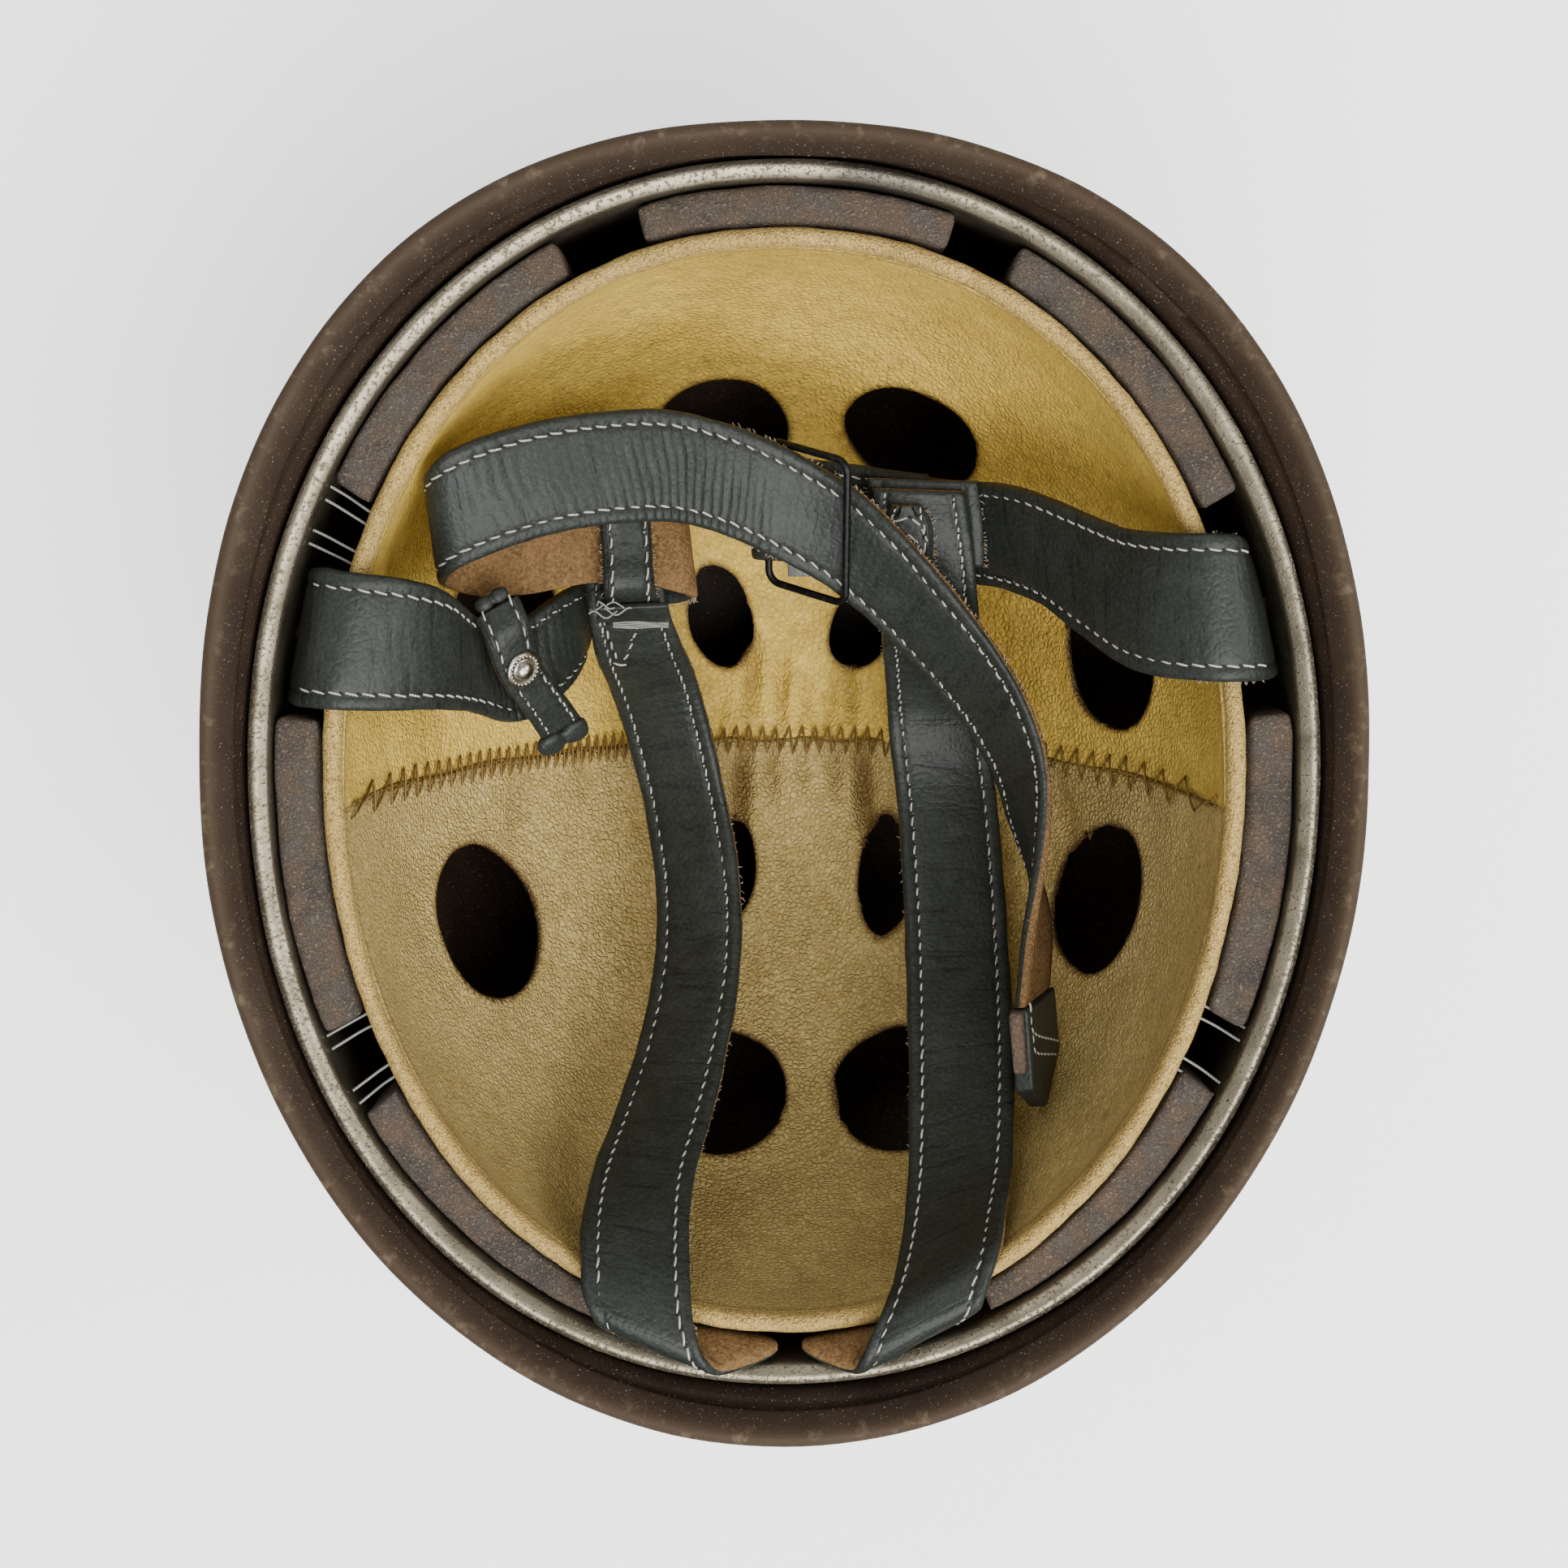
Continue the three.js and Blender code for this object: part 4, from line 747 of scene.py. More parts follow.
def make_liner(kit):
    """The two panels of the bowl, with their holes, their folds by the seam and a leather's thickness."""
    cols = kit.sizes.liner_around
    points, faces = liner_grid(kit)
    drop, cut, lift = cut_holes(points, faces)
    relief, fold = liner_relief(points)
    hem = np.exp(-((BOWL["top"] - points[:, 2]) / 3) ** 2)
    lift = (lift + relief) * (1 - hem)
    # Painted shade where the panels run in under the hem roll
    cut = np.maximum(cut, 0.4 * np.exp(-((points[:, 2] - BOWL["top"] - 0.4) / 1.2) ** 2))
    inside_corners = drop[faces].sum(axis=1)
    kept = [tuple(face) for face in faces[inside_corners < 3]]
    for face in faces[inside_corners == 3]:
        outside = int(np.argmin(drop[face]))
        kept.append((face[outside], face[(outside + 1) % 4], face[outside - 1]))
    pole = len(points)
    points = np.concatenate([points, [[0, seam_y(0), BOWL["low"]]]])
    cut, lift, hem, fold = (np.append(values, values[0]) for values in (cut, lift, hem, fold))
    kept += [((c + 1) % cols, c, pole) for c in range(cols)]
    for name, node, material, ahead in (
        ("front_liner_panel", "liner_front", "front", True),
        ("rear_liner_panel", "liner_rear", "rear", False),
    ):
        chosen = [face for face in kept if (face[0] % cols < cols // 2) == ahead]
        used = sorted({int(corner) for face in chosen for corner in face})
        order = {corner: place for place, corner in enumerate(used)}
        mesh = bpy.data.meshes.new(name)
        mesh.from_pydata((points[used] * MM).tolist(), [], [[order[int(c)] for c in face] for face in chosen])
        mesh.update()
        if vertex_normals(mesh)[np.argmin(points[used][:, 2])][2] < 0:
            mesh.flip_normals()
        for label, values in (("edge", 0.25 * hem), ("cut", cut), ("fold", fold)):
            set_attribute(mesh, label, values[used])
        push_out(mesh, lift[used])
        shade_smooth(mesh)
        mesh.materials.append(kit.materials[material])
        mesh.materials.append(kit.materials["raw"])
        piece = add_piece(name, mesh)
        wall = piece.modifiers.new("leather thickness", "SOLIDIFY")
        wall.thickness = LEATHER * MM
        wall.offset = -1
        wall.material_offset = 1
        wall.material_offset_rim = 0
        dress(piece, "liner_leather", node)


def make_hem(kit):
    """The rolled hem: a stuffed roll of leather round the bowl's mouth, a little uneven from hand work."""
    angles = np.linspace(0, 2 * math.pi, 2 * kit.sizes.around, endpoint=False)
    rows = []
    for turn in np.linspace(0, 2 * math.pi, 16, endpoint=False):
        inset = 2.05 + 2.05 * math.cos(turn)
        height = 149 + (2.7 if math.sin(turn) > 0 else 3.2) * math.sin(turn)
        rows.append(oval_row(angles, HEM, inset, height))
    points = np.concatenate(rows)
    faces = grid_faces(16, len(angles), close_rows=True)
    piece = finish_mesh("rolled_hem", points, faces, [kit.materials["hem"]])
    push_out(piece.data, waves(points, 5, 2.0) * 0.22 + waves(points, 19, 4.0) * 0.3)
    set_attribute(piece.data, "edge", np.clip(0.4 + 0.5 * waves(points, 12, 6.0), 0, 1))
    return dress(piece, "liner_leather")


# Pads

def make_pad(kit, name, ends):
    """A stuffed pad: a curved block that a cloth run swells, held to the space between band and hem."""
    steps, side, height = 24, 4, 8
    low, high = PAD_Z
    rows = []
    for i in range(steps + 1):
        angle = np.array([math.radians(ends[0] + (ends[1] - ends[0]) * i / steps)])
        inner = oval_row(angle, HEM, -PAD_GAPS[0], 0)[0]
        outer = oval_row(angle, BAND, PAD_GAPS[1], 0)[0]
        ring = [(inner + (outer - inner) * k / side, low) for k in range(side)]
        ring += [(outer, low + (high - low) * k / height) for k in range(height)]
        ring += [(outer + (inner - outer) * k / side, high) for k in range(side)]
        ring += [(inner, high - (high - low) * k / height) for k in range(height)]
        rows.append([(p[0], p[1], z) for p, z in ring])
    size = len(rows[0])
    faces = grid_faces(steps + 1, size)
    faces += [tuple(range(size)), tuple(range(steps * size, (steps + 1) * size))]
    piece = finish_mesh(name.replace("pad_", "cushion_"), np.array(rows).reshape(-1, 3), faces,
                        [kit.materials["suede"]])
    swell(piece, kit.sizes.pad_voxel, kit.sizes.pad_cap)
    places = np.array([v.co for v in piece.data.vertices]) / MM
    push_out(piece.data, waves(places, 9, len(name)) * 0.3)
    fine = piece.modifiers.new("soft surface", "SUBSURF")
    fine.levels = fine.render_levels = 1
    dress(piece, "pad_cloth", name)


def swell(piece, voxel, cap):
    """Remeshes a piece, blows it up as cloth for twenty frames and limits how far each point moves."""
    bpy.context.view_layer.objects.active = piece
    remesh = piece.modifiers.new("even mesh", "REMESH")
    remesh.mode = "VOXEL"
    remesh.voxel_size = voxel
    bpy.ops.object.modifier_apply(modifier=remesh.name)
    start = np.array([v.co for v in piece.data.vertices])
    cloth = piece.modifiers.new("stuffing", "CLOTH")
    cloth.settings.use_pressure = True
    cloth.settings.uniform_pressure_force = 4
    cloth.settings.effector_weights.gravity = 0
    for number in range(1, 21):
        bpy.context.scene.frame_set(number)
    shape = piece.evaluated_get(bpy.context.evaluated_depsgraph_get())
    moved = np.array([v.co for v in shape.data.vertices])
    piece.modifiers.remove(cloth)
    bpy.context.scene.frame_set(1)
    step = moved - start
    length = np.linalg.norm(step, axis=1, keepdims=True)
    moved = start + step * np.minimum(1, cap / np.maximum(length, 1e-9))
    piece.data.vertices.foreach_set("co", moved.ravel())
    piece.data.update()
    shade_smooth(piece.data)


# Straps

def curve_point(points, share, centripetal):
    """A point on the smooth curve through the rows, the same curve as the source uses."""
    last = len(points) - 1
    place = last * share
    i = min(int(place), last - 1)
    t = place - i
    p1, p2 = points[i], points[i + 1]
    p0 = points[i - 1] if i > 0 else 2 * points[0] - points[1]
    p3 = points[i + 2] if i + 2 <= last else 2 * points[last] - points[last - 1]
    if centripetal:
        d0, d1, d2 = (max(np.linalg.norm(b - a) ** 0.5, 1e-4) for a, b in ((p0, p1), (p1, p2), (p2, p3)))
        m1 = ((p1 - p0) / d0 - (p2 - p0) / (d0 + d1) + (p2 - p1) / d1) * d1
        m2 = ((p2 - p1) / d1 - (p3 - p1) / (d1 + d2) + (p3 - p2) / d2) * d1
    else:
        m1, m2 = (p2 - p0) / 2, (p3 - p1) / 2
    return p1 + m1 * t + (3 * (p2 - p1) - 2 * m1 - m2) * t * t + (2 * (p1 - p2) + m1 + m2) * t ** 3


def strap_path(rows, per_row):
    """Middle, cross line, grain side and width at each step along a strap, and the length so far."""
    rows = np.array(rows, dtype=float)
    steps = (len(rows) - 1) * per_row
    middle, across, grain, width = [], [], [], []
    for i in range(steps + 1):
        share = i / steps
        swing, lean, wide = curve_point(rows[:, 3:], share, False)
        swing, lean = math.radians(swing), math.radians(lean)
        line = np.array([math.cos(swing) * math.cos(lean), math.sin(swing) * math.cos(lean), math.sin(lean)])
        ahead = (curve_point(rows[:, :3], min(share + 1e-4, 1), True)
                 - curve_point(rows[:, :3], max(share - 1e-4, 0), True))
        face = np.cross(line, ahead)
        middle.append(curve_point(rows[:, :3], share, True))
        across.append(line)
        grain.append(face / np.linalg.norm(face))
        width.append(wide)
    middle = np.array(middle)
    length = np.concatenate([[0], np.cumsum(np.linalg.norm(np.diff(middle, axis=0), axis=1))])
    return middle, np.array(across), np.array(grain), np.array(width), length


def strap_section(thickness, rail):
    """Places round a strap's section: share of the half width, fixed inset from the edge, and height."""
    half = thickness / 2
    near = [(1.1, -0.04), (0.6 * rail, 0.06), (0.85 * rail, -0.1), (rail, -0.34), (1.15 * rail, -0.1),
            (1.5 * rail, 0.05)]
    top = [(-1, inset, half + rise) for inset, rise in near]
    top += [(share, 0, half + 0.14) for share in (-0.42, -0.28, -0.14, 0, 0.14, 0.28, 0.42)]
    top += [(1, inset, half + rise) for inset, rise in reversed(near)]
    right = [(1, 0.5, half * 0.84), (1, 0.14, half * 0.45), (1, 0, 0), (1, 0.1, -half * 0.6), (1, 0.5, -half)]
    bottom = [(1 - 2 * k / 8, 0.6, -half) for k in range(1, 8)]
    left = [(-1, 0.5, -half), (-1, 0.1, -half * 0.6), (-1, 0, 0), (-1, 0.14, half * 0.45),
            (-1, 0.5, half * 0.84)]
    return top + right + bottom + left, len(top)


def make_strap(kit, name):
    thickness = THIN.get(name, STRAP)
    folds = CREASES.get(name, [])
    per_row = kit.sizes.strap_steps * (3 if folds else 1)
    middle, across, grain, width, length = strap_path(STRAPS[name], per_row)
    rail = NARROW_RAIL if name in NARROW else kit.sizes.stitch_inset / MM
    section, top_count = strap_section(thickness, rail)
    points = []
    for i in range(len(middle)):
        for share, inset, height in section:
            offset = share * (width[i] / 2 - inset)
            place = middle[i] + across[i] * offset
            for row, spread, depth, pitch, bias in folds:
                reach = math.exp(-((i / per_row - row) / spread) ** 2) * (1 + bias * offset / width[i])
                warp = 2.2 * noise.noise(Vector(place) / 11) + 0.5 * noise.noise(Vector(place) / 3.5)
                height += depth * reach * (abs(math.sin(math.pi * length[i] / pitch + warp)) ** 0.6 - 0.75)
            points.append(place + grain[i] * height)
    points = np.array(points)
    size = len(section)
    faces = grid_faces(len(middle), size)
    last = (len(middle) - 1) * size
    faces += [tuple(range(size)), tuple(range(last, last + size))]
    materials = [kit.materials["strap"], kit.materials["raw"]]
    piece = finish_mesh(name + "_leather", points, faces, materials)
    mesh = piece.data
    uv = mesh.uv_layers.new(name="strip")
    girth = np.concatenate([[0], np.cumsum(np.linalg.norm(np.diff(points[:size], axis=0), axis=1))])
    sides = np.zeros(len(mesh.polygons), dtype=int)
    for poly in mesh.polygons:
        slots = [v % size for v in poly.vertices]
        sides[poly.index] = 0 if max(slots) <= top_count + 2 or min(slots) >= size - 3 or (
            0 in slots and size - 1 in slots and len(slots) == 4) else 1
        for loop in poly.loop_indices:
            vertex = mesh.loops[loop].vertex_index
            uv.data[loop].uv = (length[vertex // size] * MM, girth[vertex % size] * MM)
    mesh.polygons.foreach_set("material_index", sides)
    waver = waves(points, 13, len(name)) * 0.35 + waves(points, 4.5, 2.0) * 0.14
    push_out(mesh, waver)
    return dress(piece, "strap_leather", name)


def strap_line(name, places, rise=-0.1):
    """Points on a strap's face and the way the face looks, from rows and shares of the half width."""
    thickness = THIN.get(name, STRAP)
    middle, across, grain, width, _ = strap_path(STRAPS[name], LINE_STEPS)
    line = []
    for row, share in places:
        i = min(int(round(row * LINE_STEPS)), len(middle) - 1)
        place = middle[i] + across[i] * share * width[i] / 2 + grain[i] * (thickness / 2 + rise)
        line.append((place, grain[i]))
    return line


def stitch_rails(kit, name, first, last):
    """Two lines along a strap's grain side, from one row of its table to another, where its thread runs."""
    rail = NARROW_RAIL if name in NARROW else kit.sizes.stitch_inset / MM
    half = STRAPS[name][len(STRAPS[name]) // 2][5] / 2
    rows = np.arange(first, last, 1 / LINE_STEPS)
    return [strap_line(name, [(row, side * (1 - rail / half)) for row in rows]) for side in (-1, 1)]


def thread_tree(name, run):
    """Geometry Nodes: arched stitches that lean along each line, or one thread swept along it."""
    tree = bpy.data.node_groups.new(name, "GeometryNodeTree")
    tree.interface.new_socket("Geometry", in_out="INPUT", socket_type="NodeSocketGeometry")
    for label in ("Thread radius", "Stitch length", "Pitch", "Slant", "Start", "Sink"):
        tree.interface.new_socket(label, in_out="INPUT", socket_type="NodeSocketFloat")
    tree.interface.new_socket("Material", in_out="INPUT", socket_type="NodeSocketMaterial")
    tree.interface.new_socket("Geometry", in_out="OUTPUT", socket_type="NodeSocketGeometry")
    given = add_node(tree, "NodeGroupInput").outputs
    line = add_node(tree, "GeometryNodeMeshToCurve", {"Mesh": given["Geometry"]}).outputs[0]
    ring = add_node(tree, "GeometryNodeCurvePrimitiveCircle", {
        "Resolution": 8 if run else 6, "Radius": given["Thread radius"]}).outputs[0]
    if run:
        made = add_node(tree, "GeometryNodeCurveToMesh", {
            "Curve": line, "Profile Curve": ring, "Fill Caps": True}).outputs[0]
    else:
        trimmed = add_node(tree, "GeometryNodeTrimCurve", {
            0: line, 4: given["Start"], 5: 10.0}, mode="LENGTH").outputs[0]
        spaced = add_node(tree, "GeometryNodeResampleCurve", {
            "Curve": trimmed, "Length": given["Pitch"]}, mode="LENGTH").outputs[0]
        half, back = (scaled(tree, given["Stitch length"], share) for share in (0.5, -0.5))
        low = scaled(tree, given["Sink"], -1.0)
        arch = add_node(tree, "GeometryNodeCurveQuadraticBezier", {
            "Resolution": 6,
            "Start": add_node(tree, "ShaderNodeCombineXYZ", {0: low, 2: back}).outputs[0],
            "Middle": add_node(tree, "ShaderNodeCombineXYZ", {0: given["Sink"]}).outputs[0],
            "End": add_node(tree, "ShaderNodeCombineXYZ", {0: low, 2: half}).outputs[0]}).outputs[0]
        bead = add_node(tree, "GeometryNodeCurveToMesh", {
            "Curve": arch, "Profile Curve": ring, "Fill Caps": True}).outputs[0]
        ahead = add_node(tree, "GeometryNodeInputTangent").outputs[0]
        face = add_node(tree, "GeometryNodeInputNamedAttribute", {"Name": "face"},
                        data_type="FLOAT_VECTOR").outputs[0]
        side = add_node(tree, "ShaderNodeVectorMath", {0: ahead, 1: face},
                        operation="CROSS_PRODUCT").outputs[0]
        lean = add_node(tree, "ShaderNodeVectorMath", {
            0: side, 1: given["Slant"], 2: ahead}, operation="MULTIPLY_ADD").outputs[0]
        turn = add_node(tree, "FunctionNodeAlignRotationToVector", {"Vector": lean}, axis="Z").outputs[0]
        turn = add_node(tree, "FunctionNodeAlignRotationToVector", {
            "Rotation": turn, "Vector": face}, axis="X", pivot_axis="Z").outputs[0]
        made = add_node(tree, "GeometryNodeInstanceOnPoints", {
            "Points": spaced, "Instance": bead, "Rotation": turn}).outputs[0]
    solid = add_node(tree, "GeometryNodeRealizeInstances", {"Geometry": made}).outputs[0]
    smooth = add_node(tree, "GeometryNodeSetShadeSmooth", {"Geometry": solid}).outputs[0]
    painted = add_node(tree, "GeometryNodeSetMaterial", {
        "Geometry": smooth, "Material": given["Material"]}).outputs[0]
    add_node(tree, "NodeGroupOutput", {"Geometry": painted})
    return tree


def make_threads(kit, name, lines, tree, material, slot, **sizes):
    """Runs a thread tree over lines of point and face pairs, in millimetres, and keeps the plain mesh."""
    points = [place for line in lines for place, _ in line]
    faces = [face for line in lines for _, face in line]
    edges, start = [], 0
    for line in lines:
        edges += [(start + i, start + i + 1) for i in range(len(line) - 1)]
        start += len(line)
    mesh = bpy.data.meshes.new(name + "_lines")
    mesh.from_pydata((np.array(points) * MM).tolist(), edges, [])
    mesh.attributes.new("face", "FLOAT_VECTOR", "POINT").data.foreach_set("vector", np.array(faces).ravel())
    carrier = add_piece(name + "_lines", mesh)
    modifier = carrier.modifiers.new("threads", "NODES")
    modifier.node_group = tree
    values = {"Thread radius": 0.25, "Stitch length": 2.9, "Pitch": 3.5, "Start": 0.0, "Sink": 0.4}
    values = {label: sizes.get(label, value) * MM for label, value in values.items()}
    values.update({"Slant": sizes.get("Slant", 0.16), "Material": material})
    for item in tree.interface.items_tree:
        if item.item_type == "SOCKET" and item.name in values:
            modifier[item.identifier] = values[item.name]
    result = bpy.data.meshes.new_from_object(carrier.evaluated_get(bpy.context.evaluated_depsgraph_get()))
    result.name = name
    bpy.data.objects.remove(carrier)
    return dress(add_piece(name, result), slot)


def make_strap_stitches(kit):
    """White stitches along both edges of every strap, with dark beads between them as painted needle-hole
    shade.
    """
    lines = []
    for name, first, last in STITCHED:
        lines += stitch_rails(kit, name, first, last)
    for name, places in CROSS_STITCHES:
        lines.append(strap_line(name, places, 0.3))
    pitch = kit.sizes.stitch_pitch / MM
    make_threads(kit, "strap_stitches", lines, kit.trees["dashes"], kit.materials["white"], "strap_leather",
                 **{"Pitch": pitch, "Thread radius": kit.sizes.thread_radius / MM,
                    "Stitch length": kit.sizes.stitch_length / MM})
    # Painted shade: dark beads sit in the needle holes between the stitches
    make_threads(kit, "needle_hole_shadows", lines, kit.trees["dashes"], kit.materials["needle_hole_shade"], "strap_leather",
                 **{"Pitch": pitch, "Start": pitch / 2, "Thread radius": 0.3, "Stitch length": 0.9,
                    "Sink": 0.22, "Slant": 0.5})


def edge_fibres(chance):
    """Short curved lines that stand out from the cut edges of the straps, near their grain side."""
    fibres = []
    for name, first, last, sides, count, reach in FRAYS:
        thickness = THIN.get(name, STRAP)
        middle, across, grain, width, _ = strap_path(STRAPS[name], LINE_STEPS)
        ahead = np.gradient(middle, axis=0)
        for _ in range(count):
            i = min(int(chance.uniform(first, last) * LINE_STEPS), len(middle) - 1)
            side = chance.choice(sides)
            forward = ahead[i] / max(np.linalg.norm(ahead[i]), 1e-9)
            out = across[i] * side
            root = middle[i] + out * (width[i] / 2 - 0.3) - grain[i] * thickness * chance.uniform(0, 0.45)
            size = reach * chance.uniform(0.4, 1.0)
            bend = forward * chance.uniform(-1, 1) + grain[i] * chance.uniform(-0.5, 0.6)
            fibres.append([(root + (out * t + bend * t * t) * size, (0, 0, 1)) for t in (0, 0.4, 0.75, 1)])
    return fibres


def undone_strands(chance):
    """Strands over the keeper band: the first few still wound tight across it, the others curling loose."""
    strand_count, tight_count = 9, 4
    band = np.array([v.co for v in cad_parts["keeper_band"].data.vertices]) / MM
    low, high = band.min(axis=0), band.max(axis=0)
    strands = []
    for k in range(strand_count):
        tight = k < tight_count
        start = 0.25 if tight else chance.uniform(-0.1, 0.2)
        shift = -0.5 + 0.35 * k if tight else chance.uniform(2.0, 4.6)
        run = []
        for t in np.linspace(start, 1.0 if tight else start + chance.uniform(0.15, 0.4), 14):
            curl = 0.15 * math.sin(9 * t + k) if tight else 0.8 * math.sin(t * (11 + k) + k)
            run.append((np.array([low[0] + (high[0] - low[0]) * t, low[1] + shift + curl,
                                  high[2] + 0.3 + 0.3 * math.sin(9 * t + k)]), (0, 0, 1)))
        strands.append(run)
    return strands


def make_frays(kit):
    """Loose fibres along the cut edges, and the thread that has come undone round the keeper band."""
    chance = random.Random(SEED)
    make_threads(kit, "edge_fibres", edge_fibres(chance), kit.trees["run"], kit.materials["fibre"],
                 "raw_leather", **{"Thread radius": 0.075})
    make_threads(kit, "undone_thread", undone_strands(chance), kit.trees["run"], kit.materials["grey"],
                 "raw_leather", **{"Thread radius": 0.2})


def make_tip_stitches(kit):
    """Two lines of thread that cross the visible face of the strap's point."""
    point_size, face_rise = 25, 2.3
    middle, across, grain, _, _ = strap_path(STRAPS["chin_strap"], 1)
    ahead = np.cross(grain[-1], across[-1])
    ahead *= -np.sign(ahead[1])
    face = -grain[-1]
    lines = []
    for places in TIP_STITCHES:
        fine = smooth_rows([(along, share, 0) for along, share in places], 8)
        lines.append([(middle[-1] + ahead * (0.3 + point_size * along) + across[-1] * point_size * share
                       + face * face_rise, face) for along, share, _ in fine])
    make_threads(kit, "point_stitches", lines, kit.trees["dashes"], kit.materials["white"], "strap_leather",
                 **{"Pitch": 2.6, "Stitch length": 2.5})


def make_seam_stitches(kit):
    """The zigzag of golden thread that joins the two liner panels, and a straight thread under it."""
    reach, half_width, step, straight_count = 94.5, 3.5, 1.65, 120
    zigzag, straight = [], []
    x, side = -reach, 1
    while x < reach:
        crowd = 0.62 if x < -35 else 1.0
        y = seam_y(x) + side * (half_width + 0.7 * noise.noise(Vector((x / 7, side, 3.0))))
        zigzag.append((x + (0.75 if side > 0 else 0), y))
        x += step * crowd * (1 + 0.18 * noise.noise(Vector((x / 3, 5.0, side))))
        side = -side
    for i in range(straight_count):
        x = -reach + 2 * reach * i / (straight_count - 1)
        straight.append((x, seam_y(x) + 0.5 * math.sin(x / 3)))
    lines = []
    for flat, lift, cuts in ((zigzag, 1.15, 5), (straight, 0.75, 1)):
        run = []
        for (xa, ya), (xb, yb) in zip(flat, flat[1:]):
            for k in range(cuts):
                t = k / cuts
                x, y = xa + (xb - xa) * t, ya + (yb - ya) * t
                rise = lift + 0.35 * math.sin(math.pi * t) if cuts > 1 else lift
                middle, _, _, outward = hole_frame(x, y)
                run.append((middle - outward * rise, -outward))
        lines.append(run)
    return make_threads(kit, "seam_zigzag_thread", lines, kit.trees["run"], kit.materials["gold"],
                        "liner_leather", **{"Thread radius": 0.3})


def make_lacings(kit):
    """Grey lacing threads that cross from the band to the hem between the pads, two strands side by side."""
    lines = []
    for number, degrees in enumerate(LACINGS):
        for shift in (-0.75, 0.75):
            angle = np.array([math.radians(degrees + shift)])
            outer = oval_row(angle, BAND, 4.6, 147.5)[0]
            inner = oval_row(angle, HEM, 0.4, 148.6 - number % 2)[0]
            run = []
            for k in range(13):
                t = k / 12
                sag = 1.6 * math.sin(math.pi * t) + 0.4 * math.sin(7 * t + number + shift)
                run.append((outer + (inner - outer) * t - np.array([0, 0, sag]), (0, 0, 1)))
            lines.append(run)
    return make_threads(kit, "lacing_threads", lines, kit.trees["run"], kit.materials["grey"], "pad_cloth",
                        **{"Thread radius": 0.3})


# Fittings

def tube(name, path, radius, sides, materials):
    """A round wire along a closed path."""
    path = np.array(path)
    ahead = np.roll(path, -1, axis=0) - np.roll(path, 1, axis=0)
    ahead /= np.linalg.norm(ahead, axis=1, keepdims=True)
    normal = np.cross(path[1] - path[0], path[-2] - path[0])
    normal /= np.linalg.norm(normal)
    rows = []
    for i, point in enumerate(path):
        side = np.cross(ahead[i], normal)
        rows.append([point + radius * (math.cos(t) * side + math.sin(t) * normal)
                     for t in np.linspace(0, 2 * math.pi, sides, endpoint=False)])
    faces = grid_faces(len(path), sides, close_rows=True)
    return finish_mesh(name, np.array(rows).reshape(-1, 3), faces, materials)


def buckle_path():
    """The wire's path: a rectangle with round corners, one rail of it in the buckle strap's fold."""
    left, right = np.array([-3.4, 59.2, 106]), np.array([13.8, 54.2, 117.3])
    swing, lean = math.radians(95), math.radians(20)
    bar = np.array([math.cos(swing) * math.cos(lean), math.sin(swing) * math.cos(lean), math.sin(lean)])
    rail = right - left
    rail_unit = rail / np.linalg.norm(rail)
    bar_unit = bar - rail_unit * (bar @ rail_unit)
    bar_unit /= np.linalg.norm(bar_unit)
    middle, half_rail, half_bar, corner = (left + right) / 2, np.linalg.norm(rail) / 2, 17.2, 3
    path = []
    for sx, sy, start in ((1, 1, 0), (-1, 1, 90), (-1, -1, 180), (1, -1, 270)):
        for i in range(9):
            angle = math.radians(start + 90 * i / 8)
            out = rail_unit * math.cos(angle) + bar_unit * math.sin(angle)
            path.append(middle + rail_unit * sx * (half_rail - corner) + bar_unit * sy * (half_bar - corner)
                        + out * corner)
    return path


def make_fold(kit, name, node):
    """A folded tab end: two soft lobes with a pinch between them, laid along the solid's longest side."""
    corners = np.array([v.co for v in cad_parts[node].data.vertices]) / MM
    corners = np.unique(corners.round(2), axis=0)
    centre = corners.mean(axis=0)
    _, _, axes = np.linalg.svd(corners - centre)
    reach = np.abs((corners - centre) @ axes.T).max(axis=0)
    steps, sides = 33, 24
    points = []
    for u in np.linspace(-0.998, 0.998, steps):
        round_end = (1 - abs(u) ** 3.5) ** 0.4
        pinch = 1 - 0.34 * math.exp(-(u / 0.2) ** 2)
        for turn in np.linspace(0, 2 * math.pi, sides, endpoint=False):
            flat = (abs(math.cos(turn)) ** 2.6 + abs(math.sin(turn)) ** 2.6) ** (-1 / 2.6)
            points.append(centre + axes[0] * reach[0] * u
                          + axes[1] * reach[1] * round_end * pinch * flat * math.cos(turn)
                          + axes[2] * reach[2] * round_end * pinch * flat * math.sin(turn))
    faces = grid_faces(steps, sides)
    faces += [tuple(range(sides)), tuple(range((steps - 1) * sides, steps * sides))]
    piece = finish_mesh(name, np.array(points), faces, [kit.materials["strap"]])
    push_out(piece.data, waves(np.array(points), 3, 4.0) * 0.25)
    return dress(piece, "strap_leather", node)


